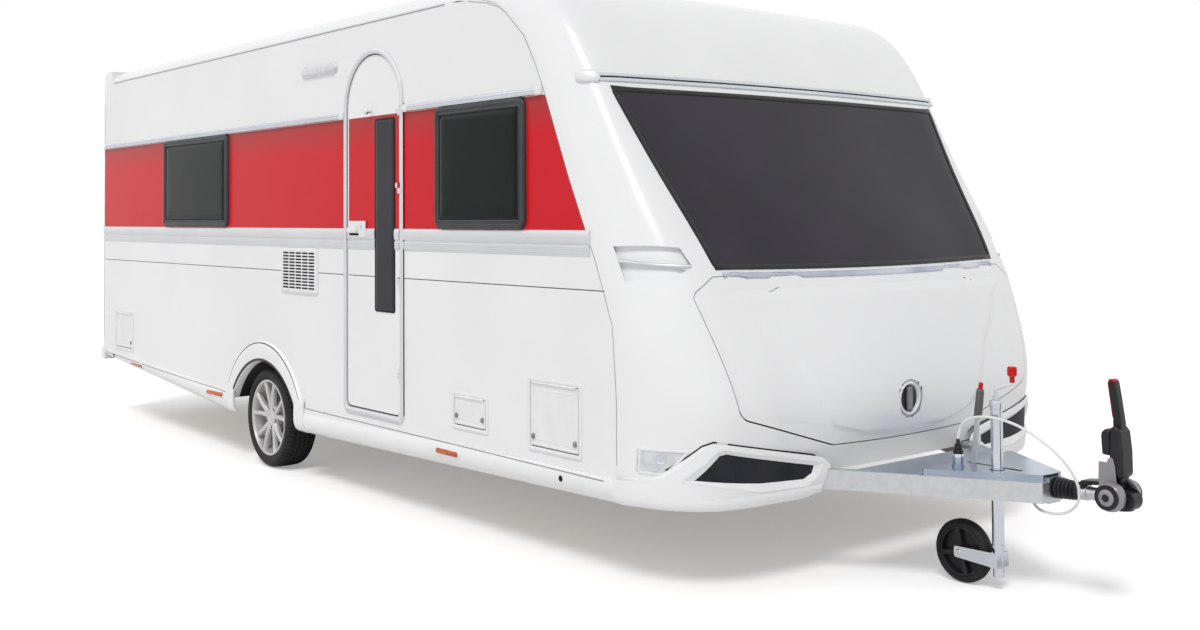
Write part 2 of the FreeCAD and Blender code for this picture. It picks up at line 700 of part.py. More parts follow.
def fridge_vent():
    x0, x1, z0, z1 = VENT
    plate = slab(rectangle(x0, x1, z0, z1, 12), "y", -HALF - 10, -HALF)
    plug = box(x0 + 20, x1 - 20, -HALF, -INNER_HALF, z0 + 20, z1 - 20)
    columns, rows = 5, 12
    pitch_x = (x1 - x0 - 50) / columns
    pitch_z = (z1 - z0 - 40) / rows
    slots = []
    for column in range(columns):
        for row in range(rows):
            x = x0 + 25 + column * pitch_x + 6
            z = z0 + 20 + row * pitch_z + 5
            slots.append(box(x, x + pitch_x - 12, -HALF - 20, -HALF + 10, z, z + pitch_z - 10))
    return plate.fuse(plug).cut(Part.makeCompound(slots)).removeSplitter()


def wall_bottom(x):
    """Height of the side wall's lower edge at a place along it."""
    if x < ARCH_CENTRE_X:
        x0, z0, x1, z1 = REAR_WALL_X, SIDE_BOTTOM_REAR, ARCH_CENTRE_X - arch_foot(), SIDE_BOTTOM_MIDDLE
    else:
        x0, z0, x1, z1 = ARCH_CENTRE_X + arch_foot(), SIDE_BOTTOM_MIDDLE, SIDE_FRONT_X, FRONT_STATIONS[-1][1][1]
    return z0 + (z1 - z0) * (x - x0) / (x1 - x0)


def skirt_length(x0, bottom0, x1, bottom1):
    """One length of bulging skirt under the right-hand wall, its bottom edge rising or falling."""
    top0, top1 = wall_bottom(x0), wall_bottom(x1)
    drop = bottom1 - bottom0
    high = max(top0, top1) + abs(drop) + 20
    outer = [Vector(x0, -HALF - 8, high), Vector(x0, -HALF - 8, bottom0 + 110),
             Vector(x0, -HALF - SKIRT_BULGE, bottom0 + 48), Vector(x0, -HALF + 18, bottom0)]
    inset = Vector(0, SKIRT_GAUGE, 0)
    inner = [point + inset for point in outer]
    edges = [
        Part.makeLine(outer[0], outer[1]), Part.Arc(*outer[1:]).toShape(), Part.makeLine(outer[3], inner[3]),
        Part.Arc(*reversed(inner[1:])).toShape(), Part.makeLine(inner[1], inner[0]),
        Part.makeLine(inner[0], outer[0]),
    ]
    length = Part.Face(Part.Wire(edges)).extrude(Vector(x1 - x0, 0, drop))
    above = [(x0 - 1, wall_bottom(x0 - 1), 0), (x1 + 1, wall_bottom(x1 + 1), 0),
             (x1 + 1, high + 200, 0), (x0 - 1, high + 200, 0)]
    flange = slab([(x0, top0 - 8, 0), (x1, top1 - 8, 0), (x1, top1, 0), (x0, top0, 0)], "y", -HALF - 8, -INNER_HALF - 2)
    return length.cut(slab(above, "y", -HALF - 60, -HALF + 60)).fuse(flange).removeSplitter()


def skirts(side):
    arch = arch_segment(ARCH_RADIUS + FIT, ARCH_TOP + FIT, -HALF - 60, -INNER_HALF)
    lengths = [skirt_length(*ends).cut(arch) for ends in (SKIRT_REAR, SKIRT_FRONT)]
    return for_side(Part.makeCompound(lengths), side)


def arch_segment(radius, top, y0, y1):
    disc = rod((ARCH_CENTRE_X, y0, top - radius), (0, 1, 0), radius, y1 - y0)
    return disc.common(box(-1600, -200, y0, y1, RAIL_BOTTOM - 60, ARCH_TOP + 10))


def wheel_arch(side):
    """The moulded arch lip and the wheel box behind it."""
    lip = arch_segment(ARCH_RADIUS, ARCH_TOP, -HALF - 22, -HALF)
    lip = lip.fuse(arch_segment(ARCH_RADIUS - 1, ARCH_TOP - 1, -HALF, -INNER_HALF))
    lip = lip.cut(arch_segment(ARCH_INNER_RADIUS, ARCH_INNER_TOP, -HALF - 50, -INNER_HALF + 5))
    wall = 5.0
    shell = arch_segment(ARCH_INNER_RADIUS + wall, ARCH_INNER_TOP + wall, -INNER_HALF, -ARCH_BOX_Y)
    hollow = arch_segment(ARCH_INNER_RADIUS, ARCH_INNER_TOP, -INNER_HALF - 1, -ARCH_BOX_Y - wall)
    arch = lip.fuse(shell.cut(hollow)).removeSplitter()
    below = box(-1600, -200, -HALF - 50, -ARCH_BOX_Y + 5, 200, SIDE_BOTTOM_MIDDLE - 40)
    return for_side(arch.cut(below), side)


def chassis_rail(side):
    """A channel rail, open towards the middle."""
    y = -RAIL_CENTRE_Y
    rail = box(RAIL_REAR_X, BEAM_REAR_X - 60, y - RAIL_WIDTH / 2, y + RAIL_WIDTH / 2, RAIL_BOTTOM, RAIL_TOP)
    hollow = box(RAIL_REAR_X - 1, BEAM_REAR_X, y - RAIL_WIDTH / 2 + RAIL_GAUGE, y + RAIL_WIDTH,
                 RAIL_BOTTOM + RAIL_GAUGE, RAIL_TOP - RAIL_GAUGE)
    return for_side(rail.cut(hollow), side)


def cross_members():
    members = []
    reach = RAIL_CENTRE_Y - RAIL_WIDTH / 2
    for x in (-3400.0, -1900.0, 600.0, 2200.0):
        outer = box(x - 25, x + 25, -reach, reach, RAIL_BOTTOM + 15, RAIL_TOP)
        members.append(outer)
    return Part.makeCompound(members)


def beam_centre(x):
    """Half the distance between the drawbar beams' centres at a place along them."""
    rear_y = RAIL_CENTRE_Y
    start = BEAM_REAR_X - 60
    share = (x - start) / (BEAM_FRONT_X - start)
    return rear_y + (BEAM_FRONT_Y - rear_y) * share


def beam_line():
    """Both ends of the right-hand beam's centre line: x and x, then y and y."""
    x0, x1 = BEAM_REAR_X - 60, BEAM_FRONT_X
    return x0, x1, -beam_centre(x0), -beam_centre(x1)


def drawbar_beam(side):
    x0, x1, y0, y1 = beam_line()
    half = RAIL_WIDTH / 2 / math.cos(math.atan2(y1 - y0, x1 - x0))
    plan = [(x0, y0 - half, 0), (x1, y1 - half, 0), (x1, y1 + half, 0), (x0, y0 + half, 0)]
    beam = slab(plan, "z", RAIL_BOTTOM, RAIL_TOP)
    beam = beam.cut(box(x0, x1 + 1, -HOUSING_WIDTH / 2, HOUSING_WIDTH / 2, 300, 500))
    return for_side(beam, side)


def drawbar_cover():
    """The folded sheet cover over the drawbar, the flat plate behind it and the plug's parking socket."""
    rear_half, front_half = beam_centre(COVER_REAR_X) + 26, 62.0
    top = COVER_TOP
    sheet = 3.0

    def plan(shrink):
        return [
            (COVER_REAR_X + shrink, -rear_half + shrink, 12), (COVER_FRONT_X - shrink, -front_half + shrink, 8),
            (COVER_FRONT_X - shrink, front_half - shrink, 8), (COVER_REAR_X + shrink, rear_half - shrink, 12),
        ]
    cover = slab(plan(0.0), "z", RAIL_TOP, top)
    cover = cover.cut(slab(plan(sheet), "z", RAIL_TOP - 1, top - sheet))
    back_half = beam_centre(2950) + 20
    plate = slab([
        (2950, -back_half, 0), (COVER_REAR_X, -rear_half + 4, 0),
        (COVER_REAR_X, rear_half - 4, 0), (2950, back_half, 0)], "z", RAIL_TOP, RAIL_TOP + sheet)
    cover = cover.fuse(plate)
    cover = cover.cut(rod((JOCKEY_X, JOCKEY_Y, 400), (0, 0, 1), JOCKEY_TUBE_DIAMETER / 2 + 7, 200))
    cover = cover.cut(box(BRAKE_X - 26, BRAKE_X + 236, BRAKE_Y - 11, BRAKE_Y + 11, 400, 600))
    cover = cover.cut(box(3380, 3600, -HOUSING_WIDTH / 2 - 1, HOUSING_WIDTH / 2 + 1, 440, top - sheet))
    return cover.fuse(parking_socket()).removeSplitter()


def overrun_tube():
    """The overrun housing between the beams with its shaft running forward to the coupling."""
    half = HOUSING_WIDTH / 2
    housing = box(3380, HOUSING_FRONT_X, -half, half, COUPLING_Z - 62, COUPLING_Z + 38)
    back = rod((3090, 0, COUPLING_Z), (1, 0, 0), RAIL_TOP - COUPLING_Z - FIT, 290)
    shaft = rod((HOUSING_FRONT_X, 0, COUPLING_Z), (1, 0, 0), SHAFT_DIAMETER / 2,
                HEAD_BACK_X - HOUSING_FRONT_X)
    bracket = box(3250, 3284, -BRAKE_CLEAR, -15, COUPLING_Z - 30, COUPLING_Z + 22)
    housing = housing.fuse([back, shaft, bracket])
    return housing.cut(rod((BRAKE_X, -100, BRAKE_Z), (0, 1, 0), 6, 120)).removeSplitter()


def bellows():
    """Rubber bellows round the shaft, with its folds."""
    x0 = HOUSING_FRONT_X
    folds = 6
    pitch = BELLOWS_LENGTH / folds
    bore = SHAFT_DIAMETER / 2 + 0.3
    points = [Vector(x0, bore, 0), Vector(x0, 34, 0)]
    for fold in range(folds):
        x = x0 + fold * pitch
        points.append(Vector(x + pitch * 0.5, 42 - fold * 0.8, 0))
        points.append(Vector(x + pitch, 34 - fold * 0.8, 0))
    points.append(Vector(x0 + BELLOWS_LENGTH, bore, 0))
    points.append(points[0])
    face = Part.Face(Part.makePolygon(points))
    ring = face.revolve(Vector(0, 0, 0), Vector(1, 0, 0), 360)
    ring.translate(Vector(0, 0, COUPLING_Z))
    return ring


def coupling_head():
    """The coupling head over the ball, its round friction-pad lobes and its open socket."""
    x, z = HEAD_X, COUPLING_Z + 12
    neck = box(HEAD_BACK_X, x, -30, 30, COUPLING_Z - 28, COUPLING_Z + 30)
    body = rod((x, -40, z), (0, 1, 0), 45, 80)
    nose = rod((HEAD_FRONT_X - 40, -30, z - 12), (0, 1, 0), 40, 60)
    skirt = rod((x + 8, 0, z - 52), (0, 0, 1), 44, 50)
    lobes = [rod((x - 6, y, z), (0, 1, 0), 47, 48) for y in (-90, 42)]
    head = neck.fuse([body, nose, skirt] + lobes)
    radius = BALL_DIAMETER / 2 + 0.3
    head = head.cut(rod((x + 8, 0, z - 60), (0, 0, 1), radius, 38))
    head = head.cut(Part.makeSphere(radius, Vector(x + 8, 0, z - 22)))
    slot = box(x - 60, x + 80, -28.5, 28.5, z + 16, z + 80)
    pin = rod((x, -38, z + 30), (0, 1, 0), 6, 76)
    return head.cut(slot).fuse(pin).removeSplitter()


def coupling_handle():
    """The stabiliser's tall handle, pivoted across the top of the coupling head."""
    x, z = HEAD_X, COUPLING_Z + 42
    lower = slab([(x - 12, z - 8, 6), (x + 12, z - 8, 6), (x + 30, z + 40, 10), (x + 22, z + 190, 20),
                  (x - 48, z + 214, 20), (x - 47, z + 62, 20)], "y", -24, 24)
    upper = slab([(x - 12, z + 170, 0), (x + 18, z + 160, 0), (x + 36, z + 400, 12), (x + 8, z + 400, 12)],
                 "y", -16, 16)
    boss = rod((x, -24, z), (0, 1, 0), 11, 48)
    bore = rod((x, -30, z), (0, 1, 0), 6 + FIT, 60)
    return lower.fuse([upper, boss]).cut(bore).removeSplitter()


def tyre(side):
    radius, rim = TYRE_DIAMETER / 2, RIM_DIAMETER / 2
    outer, inner = -WHEEL_FACE_Y, -WHEEL_FACE_Y + TYRE_WIDTH
    bulge = 6.0
    points = [
        (rim + FIT, outer + 14, 0), (rim + 9, outer + 14, 3), (rim + 34, outer, 16), (radius - 22, outer + bulge, 10),
        (radius, outer + 26, 18), (radius, inner - 26, 18), (radius - 22, inner - bulge, 10),
        (rim + 34, inner, 16), (rim + 9, inner - 14, 3), (rim + FIT, inner - 14, 0),
    ]
    profile = Part.Face(outline([(y, r, fillet) for r, y, fillet in points], "x", 0.0))
    ring = profile.revolve(Vector(0, 0, 0), Vector(0, 1, 0), 360)
    ring.translate(Vector(AXLE_X, 0, WHEEL_CENTRE_Z))
    return for_side(ring, side)


def rim_barrel():
    """The rim's barrel: flanges at both beads and a dropped well."""
    rim = RIM_DIAMETER / 2
    outer, inner = -WHEEL_FACE_Y + 6, -WHEEL_FACE_Y + TYRE_WIDTH - 6
    points = [
        (outer, rim + 8, 2), (outer + 8, rim + 8, 2), (outer + 8, rim, 0), (outer + 40, rim, 4),
        (outer + 60, rim - 22, 6), (inner - 40, rim - 22, 6), (inner - 20, rim, 4), (inner - 8, rim, 0),
        (inner - 8, rim + 8, 2), (inner, rim + 8, 2), (inner, rim - 8, 4), (inner - 30, rim - 30, 6),
        (outer + 50, rim - 30, 6), (outer + 20, rim - 8, 6), (outer, rim - 4, 2),
    ]
    profile = Part.Face(outline(points, "x", 0.0))
    return profile.revolve(Vector(0, 0, 0), Vector(0, 1, 0), 360)


def rim(side):
    """A cast wheel with five forked spokes round a drilled hub, and the brake drum on its back."""
    face, back = -WHEEL_FACE_Y + 12, -HUB_FACE_Y
    reach = RIM_DIAMETER / 2 - 4
    hub = rod((0, back, 0), (0, -1, 0), 74, back - face - 8)
    pieces = [rim_barrel(), hub]
    for index in range(5):
        root = 44.0
        for lean in (-1, 1):
            arm = slab([
                (lean * 2 - 15, root, 0), (lean * 2 + 15, root, 0),
                (lean * 46 + 15, reach, 0), (lean * 46 - 15, reach, 0)], "y", face, face + 30)
            arm.rotate(Vector(0, 0, 0), Vector(0, 1, 0), 72 * index)
            pieces.append(arm.common(rod((0, face, 0), (0, 1, 0), reach, 30)))
    wheel = pieces[0].fuse(pieces[1:])
    for index in range(5):
        turn = math.radians(72 * index + 36)
        wheel = wheel.cut(rod((56 * math.sin(turn), face - 20, 56 * math.cos(turn)), (0, 1, 0), 11, 60))
    wheel = wheel.cut(rod((0, face - 20, 0), (0, 1, 0), 32, 24))
    drum = rod((0, back, 0), (0, 1, 0), DRUM_DIAMETER / 2, DRUM_WIDTH)
    bore = rod((0, back + 8, 0), (0, 1, 0), SPINDLE_DIAMETER / 2 + FIT, DRUM_WIDTH)
    wheel = wheel.fuse(drum).cut(bore)
    wheel.translate(Vector(AXLE_X, 0, WHEEL_CENTRE_Z))
    return for_side(wheel.removeSplitter(), side)


def swing_arm(side):
    """The trailing arm from the axle tube's end to the stub axle, with the brake's backing plate."""
    tube_x, tube_z = AXLE_X + AXLE_TUBE_LEAD, RAIL_BOTTOM - AXLE_TUBE_DIAMETER / 2 - 3
    inner_y = -AXLE_TUBE_LENGTH / 2
    start, end = Vector(tube_x, 0, tube_z), Vector(AXLE_X, 0, WHEEL_CENTRE_Z)
    along = (end - start).normalize()
    across = Vector(-along.z, 0, along.x)
    big, small = 46.0, 36.0
    corners = [start + across * big, end + across * small, end - across * small, start - across * big]
    web = slab([(c.x, c.z, 0) for c in corners], "y", inner_y - 40, inner_y)
    bosses = [
        rod((tube_x, inner_y - 40, tube_z), (0, 1, 0), big, 40),
        rod((AXLE_X, inner_y - 40, WHEEL_CENTRE_Z), (0, 1, 0), small, 40),
    ]
    hub_back = -HUB_FACE_Y + DRUM_WIDTH
    plate = rod((AXLE_X, hub_back + 8, WHEEL_CENTRE_Z), (0, 1, 0), DRUM_DIAMETER / 2 - 4, 8)
    spindle = rod((AXLE_X, -HUB_FACE_Y + 10, WHEEL_CENTRE_Z), (0, 1, 0), SPINDLE_DIAMETER / 2,
                  inner_y + HUB_FACE_Y - 20)
    return for_side(web.fuse(bosses + [plate, spindle]).removeSplitter(), side)


def axle_tube():
    tube_x, tube_z = AXLE_X + AXLE_TUBE_LEAD, RAIL_BOTTOM - AXLE_TUBE_DIAMETER / 2 - 3
    half = AXLE_TUBE_LENGTH / 2
    axle = rod((tube_x, -half, tube_z), (0, 1, 0), AXLE_TUBE_DIAMETER / 2, 2 * half)
    blocks = [
        box(tube_x - 60, tube_x + 60, side * RAIL_CENTRE_Y - 30, side * RAIL_CENTRE_Y + 30,
            tube_z, RAIL_BOTTOM) for side in (-1, 1)
    ]
    return axle.fuse(blocks).removeSplitter()


def jockey_outer_tube():
    """The jockey wheel's clamped outer tube with its shoulder cap and crank."""
    centre = (JOCKEY_X, JOCKEY_Y, JOCKEY_TUBE_BOTTOM)
    radius = JOCKEY_TUBE_DIAMETER / 2
    body = tube(centre, (0, 0, 1), radius, JOCKEY_LEG_DIAMETER / 2 + FIT, JOCKEY_TUBE_TOP - JOCKEY_TUBE_BOTTOM)
    cap = rod((JOCKEY_X, JOCKEY_Y, JOCKEY_TUBE_TOP - 30), (0, 0, 1), radius - 0.5, 30)
    neck = rod((JOCKEY_X, JOCKEY_Y, JOCKEY_TUBE_TOP), (0, 0, 1), 14, 18)
    return body.fuse([cap, neck, jockey_crank()]).removeSplitter()


def jockey_clamp():
    """The clamp that holds the jockey tube against the right-hand beam."""
    z0, z1 = RAIL_BOTTOM, RAIL_TOP
    inner_face = -beam_centre(JOCKEY_X) + RAIL_WIDTH / 2 / 0.86
    block = box(JOCKEY_X - 32, JOCKEY_X + 32, inner_face - 19, JOCKEY_Y + 12, z0 + 8, z1 - 4)
    block = block.cut(rod((JOCKEY_X, JOCKEY_Y, 300), (0, 0, 1), JOCKEY_TUBE_DIAMETER / 2 + FIT, 300))
    return block.cut(drawbar_beam(-1))


def jockey_leg():
    """The inner leg with the two fork plates that trail the wheel."""
    leg = rod((JOCKEY_X, JOCKEY_Y, 55), (0, 0, 1), JOCKEY_LEG_DIAMETER / 2, JOCKEY_LEG_TOP - 55)
    hub_x, hub_z = JOCKEY_X - JOCKEY_TRAIL, JOCKEY_WHEEL_DIAMETER / 2
    plates = []
    for low in (JOCKEY_Y - JOCKEY_WHEEL_WIDTH / 2 - 10, JOCKEY_Y + JOCKEY_WHEEL_WIDTH / 2 + 5):
        plates.append(slab([
            (hub_x - 22, hub_z - 22, 10), (JOCKEY_X + 20, hub_z - 34, 4),
            (JOCKEY_X + 20, hub_z + 26, 4), (hub_x - 22, hub_z + 22, 10)], "y", low, low + 5))
    width = JOCKEY_WHEEL_WIDTH / 2 + 10
    saddle = box(JOCKEY_X - 14, JOCKEY_X + 20, JOCKEY_Y - width, JOCKEY_Y + width, hub_z - 34, hub_z + 26)
    pin = rod((hub_x, JOCKEY_Y - width - 6, hub_z), (0, 1, 0), 8, 2 * width + 12)
    return leg.fuse(plates + [saddle, pin]).removeSplitter()


def jockey_wheel():
    """The solid rubber jockey wheel on a four-spoked centre."""
    hub = (JOCKEY_X - JOCKEY_TRAIL, JOCKEY_Y, JOCKEY_WHEEL_DIAMETER / 2)
    x, y, z = hub
    half = JOCKEY_WHEEL_WIDTH / 2
    radius = JOCKEY_WHEEL_DIAMETER / 2
    tread = [(-half, radius - 26, 4), (-half, radius - 8, 12), (-half * 0.5, radius, 20),
             (half * 0.5, radius, 20), (half, radius - 8, 12), (half, radius - 26, 4)]
    wheel = Part.Face(outline(tread, "x", 0.0)).revolve(Vector(0, 0, 0), Vector(0, 1, 0), 360)
    spokes = [rod((0, -half, 0), (0, 1, 0), 26, 2 * half), rod((0, -6, 0), (0, 1, 0), radius - 20, 12)]
    for index in range(4):
        arm = box(-11, 11, -half + 6, half - 6, 0, radius - 22)
        arm.rotate(Vector(0, 0, 0), Vector(0, 1, 0), 90 * index + 12)
        spokes.append(arm)
    wheel = wheel.fuse(spokes).cut(rod((0, -half - 1, 0), (0, 1, 0), 8 + FIT, 2 * half + 2))
    wheel.translate(Vector(x, y, z))
    return wheel.removeSplitter()


def swept(points, radius, bend):
    """A round bar along straight runs joined by arcs of one bend radius."""
    return sweep_route(points, [bend] * (len(points) - 2), radius)


def sweep_route(points, bends, radius):
    edges = []
    start = Vector(*points[0])
    for index in range(1, len(points) - 1):
        here = Vector(*points[index])
        back = (Vector(*points[index - 1]) - here).normalize()
        ahead = (Vector(*points[index + 1]) - here).normalize()
        half_turn = (math.pi - back.getAngle(ahead)) / 2
        bend = bends[index - 1]
        reach = bend * math.tan(half_turn)
        inward = (back + ahead).normalize()
        arc_start, arc_end = here + back * reach, here + ahead * reach
        middle = here + inward * (bend / math.cos(half_turn) - bend)
        edges.append(Part.LineSegment(start, arc_start).toShape())
        edges.append(Part.Arc(arc_start, middle, arc_end).toShape())
        start = arc_end
    edges.append(Part.LineSegment(start, Vector(*points[-1])).toShape())
    path = Part.Wire(edges)
    heading = (Vector(*points[1]) - Vector(*points[0])).normalize()
    ring = Part.Wire(Part.makeCircle(radius, Vector(*points[0]), heading))
    return path.makePipeShell([ring], True, False)


def jockey_crank():
    """The cranked handle on top of the jockey tube with its round grip."""
    z = JOCKEY_TUBE_TOP + 18
    x, y = JOCKEY_X, JOCKEY_Y
    bar = swept([(x, y, z), (x, y, z + 30), (x + 52, y + 34, z + 50), (x + 52, y + 34, z + 82)], 6, 12)
    grip = rod((x + 52, y + 34, z + 82), (0, 0, 1), 17, 34)
    return bar.fuse(grip).removeSplitter()


def handbrake_lever():
    """The brake lever: flat bar on its pivot and a round grip."""
    lean = math.atan2(50, 395)
    bar = slab([(-15, -15, 12), (15, -15, 12), (11, 250, 0), (-11, 250, 0)], "y", -4, 4)
    grip = rod((0, 0, 240), (0, 0, 1), 15, 140)
    lever = bar.fuse(grip)
    lever.rotate(Vector(0, 0, 0), Vector(0, 1, 0), math.degrees(lean))
    lever.translate(Vector(BRAKE_X, BRAKE_Y, BRAKE_Z))
    pin = rod((BRAKE_X, BRAKE_Y - 6, BRAKE_Z), (0, 1, 0), 6 - FIT, 22)
    return lever.fuse(pin).removeSplitter()


def lid_relief():
    """The strip taken off the back of the lid's sloping upper corner, so it clears the panel as it swings."""
    (wide, low), (narrow, high) = LID_WIDE, LID_TOP
    step, rise = (wide - narrow) * 0.35, (high - low) * 0.35
    start, end = (wide + step, low - rise), (narrow - step, high + rise)
    corners = [(start[0], start[1] - LID_RELIEF, 0), (end[0], end[1] - LID_RELIEF, 0),
               (end[0], end[1] + 60, 0), (start[0], start[1] + 60, 0)]
    return slab(corners, "x", LID_RELIEF_X - 150, LID_RELIEF_X)


def gas_locker_lid(shell):
    """The locker lid cut from the front moulding, with the two goosenecks it swings on."""
    relief = lid_relief()
    lid = shell.common(lid_cutter(0.0)).cut(relief).cut(mirrored(relief))
    lid = lid.cut(rod((LATCH_FACE_X, 0, LATCH_Z), (1, 0, 0), LATCH_RADIUS + 4, 100))
    for y in LID_ARMS:
        neck = slab(LID_NECK, "y", y - 4, y + 4)
        eye = rod((LID_HINGE_X, y - 4, LID_HINGE_Z), (0, 1, 0), 9, 8)
        bore = rod((LID_HINGE_X, y - 5, LID_HINGE_Z), (0, 1, 0), 4 + FIT, 10)
        lid = lid.fuse([neck, eye]).cut(bore)
    return lid


def lid_brackets():
    """Ears on the locker's shelf with the pins that carry the lid's goosenecks."""
    pieces = []
    x, z = LID_HINGE_X, LID_HINGE_Z
    for y in LID_ARMS:
        foot = LOCKER_SHELF_TOP - 10
        ear = slab([(x - 100, foot, 0), (x - 70, foot, 0), (x + 8, z - 8, 6), (x - 2, z + 8, 6)], "y", y + 8, y + 14)
        pin = rod((x, y - 5, z), (0, 1, 0), 4, 19)
        pieces.append(ear.fuse(pin))
    return pieces


def lid_latch():
    """The locker's latch: a round plate in the lid's pocket with a plain twist handle."""
    plate = rod((LATCH_FACE_X, 0, LATCH_Z), (1, 0, 0), LATCH_RADIUS, 6)
    knob = slab(rectangle(-11, 11, LATCH_Z - 50, LATCH_Z + 50, 10), "x", LATCH_FACE_X + 6, LATCH_FACE_X + 18)
    return plate.fuse(knob).removeSplitter()


def bumper_outline():
    return [
        (HALF + 2, 352, 0), (HALF + 2, 450, 0), (HALF - 41, 468, 20), (HALF - 57, 487, 20),
        (HALF - 147, 599, 30), (HALF - 181, 615, 30), (HALF - 701, 513, 22), (HALF - 753, 480, 30),
        (HALF - 755, 408, 30), (HALF - 709, 364, 20), (HALF - 389, 354, 0),
    ]


def vent_outline():
    return [
        (HALF - 87, 462, 12), (HALF - 187, 579, 16), (HALF - 220, 585, 16), (HALF - 707, 489, 12),
        (HALF - 694, 440, 14), (HALF - 638, 399, 30), (HALF - 381, 409, 60),
    ]


def beam_room():
    """Room for the drawbar beams where they pass under the front, on both sides."""
    x0, x1, y0, y1 = beam_line()
    half = RAIL_WIDTH / 2 / math.cos(math.atan2(y1 - y0, x1 - x0)) + 4
    plan = [(x0, y0 - half, 0), (x1, y1 - half, 0), (x1, y1 + half, 0), (x0, y0 + half, 0)]
    room = slab(plan, "z", RAIL_BOTTOM - 4, RAIL_TOP + 4)
    return [room, mirrored(room)]


def front_bumper(side, shell):
    """A moulded bumper corner, proud of the front panel, with its grille opening."""
    piece = shell.common(slab(bumper_outline(), "x", 2300, 3000))
    piece = piece.cut(slab(vent_outline(), "x", 2300, 3000)).cut(beam_room()[1])
    return piece if side > 0 else mirrored(piece)


def bumper_grille(side, shell):
    piece = shell.common(slab(vent_outline(), "x", 2300, 3000))
    return piece if side > 0 else mirrored(piece)


def steady(x, side, heading):
    """A corner steady folded up under the floor, its leg pointing along heading."""
    length = 420.0
    y = STEADY_Y
    leg = box(-22, length, y - 26, y + 26, -20, 20)
    leg = leg.cut(box(20, length + 1, y - 20, y + 20, -21, 10))
    foot = box(length - 60, length + 30, y - 45, y + 45, -26, -20)
    leg = leg.fuse(foot).cut(rod((0, y - 60, 0), (0, 1, 0), 8 + FIT, 120)).removeSplitter()
    leg = leg if heading > 0 else leg.mirror(Vector(0, 0, 0), Vector(1, 0, 0))
    leg.translate(Vector(x, 0, STEADY_Z))
    return for_side(mirrored(leg), side)


def steady_brackets():
    pieces = []
    for x, side, _ in STEADIES.values():
        y = STEADY_Y
        top = box(x - 40, x + 40, y - 36, y + 36, RAIL_TOP - 6, RAIL_TOP)
        ears = [box(x - 25, x + 25, y + low, y + low + 6, STEADY_Z - 25, RAIL_TOP) for low in (-34, 28)]
        pin = rod((x, y - 40, STEADY_Z), (0, 1, 0), 8, 80)
        pieces.append(for_side(mirrored(top.fuse(ears + [pin]).removeSplitter()), side))
    return Part.makeCompound(pieces)


def rooflight_frame():
    """The rooflight's frame with the pin ends of its two hinges."""
    x0, x1, y0, y1 = ROOFLIGHT
    ring = box(x0 - 30, x1 + 30, y0 - 30, y1 + 30, ROOF_TOP - 2, ROOF_TOP + 22)
    sleeve = box(x0, x1, y0, y1, ROOF_TOP - 45, ROOF_TOP + 22)
    hole = box(x0 + 20, x1 - 20, y0 + 20, y1 - 20, ROOF_TOP - 60, ROOF_TOP + 40)
    frame = ring.fuse(sleeve).cut(hole).cut(roof_panel())
    x, z = x0 - 20, ROOF_TOP + 29
    for y in ROOFLIGHT_HINGES:
        foot = box(x - 4.5, x + 4.5, y, y + 12, ROOF_TOP + 20, z)
        knuckle = rod((x, y, z), (0, 1, 0), 4.5, 12)
        pin = rod((x, y, z), (0, 1, 0), PIN_RADIUS, 40)
        frame = frame.fuse([foot, knuckle, pin])
    return frame.removeSplitter()


def rooflight_lid():
    """The domed rooflight lid, hung from the hinges along its rear edge."""
    x0, x1, y0, y1 = ROOFLIGHT
    lid = slab(rectangle(x0 - 25, x1 + 25, y0 - 25, y1 + 25, 60), "z", ROOF_TOP + 27, ROOF_TOP + 60)
    lid = lid.cut(slab(rectangle(x0, x1, y0, y1, 50), "z", ROOF_TOP + 20, ROOF_TOP + 56))
    x, z = x0 - 20, ROOF_TOP + 29
    for y in ROOFLIGHT_HINGES:
        lid = lid.cut(box(x - 10, x + 7, y - 2, y + 13, z - 8, z + 7))
        lid = lid.fuse(rod((x, y + 14, z), (0, 1, 0), 4.5, 26))
        lid = lid.cut(rod((x, y - 3, z), (0, 1, 0), PIN_RADIUS + FIT, 48))
    return lid.removeSplitter()


def rear_bumper():
    """The rear bumper beam with rounded ends."""
    back, corner, front = REAR_BUMPER_X, REAR_BUMPER_X + 60, REAR_WALL_X + 2
    inner, outer = HALF - 120, HALF - 5
    plan = [(back, -inner, 60), (back, inner, 60), (corner, outer, 30), (front, outer, 0),
            (front, -outer, 0), (corner, -outer, 30)]
    return slab(plan, "z", REAR_BUMPER_BOTTOM, SIDE_BOTTOM_REAR)


def lamp_outline():
    return [(HALF - 13, 583, 10), (HALF - 117, 583, 6), (HALF - 64, 478, 20), (HALF - 13, 480, 10)]


def lamps(shell):
    """The rear lamp clusters on the rear wall and the clear lamps let into the front panel."""
    middle = HALF - REAR_LAMP_INSET
    rear = [slab(rectangle(side * middle - 75, side * middle + 75, 620, 940, 30), "x", -3925, REAR_CORNER_X + 2)
            for side in (-1, 1)]
    front = shell.common(slab(lamp_outline(), "x", SIDE_FRONT_X + 2, 3000))
    solids = front.Solids + mirrored(front).Solids + [piece.cut(rear_block(0.0, 0.0)) for piece in rear]
    return Part.makeCompound(solids)


def parking_socket():
    base = rod((3262, -160, COVER_TOP), (0, 0, 1), 26, 10)
    cup = tube((3262, -160, COVER_TOP + 10), (0, 0, 1), 22, 16.5, 32)
    return base.fuse(cup).removeSplitter()


def connector_plug():
    """The plug parked in its socket, with its collar and strain relief."""
    z = COVER_TOP + 10
    parts = [
        rod((3262, -160, z), (0, 0, 1), 16.4, 32), rod((3262, -160, z + 32), (0, 0, 1), 21, 26),
        rod((3262, -160, z + 58), (0, 0, 1), 15, 22), rod((3262, -160, z + 80), (0, 0, 1), 9, 22),
    ]
    return parts[0].fuse(parts[1:]).removeSplitter()


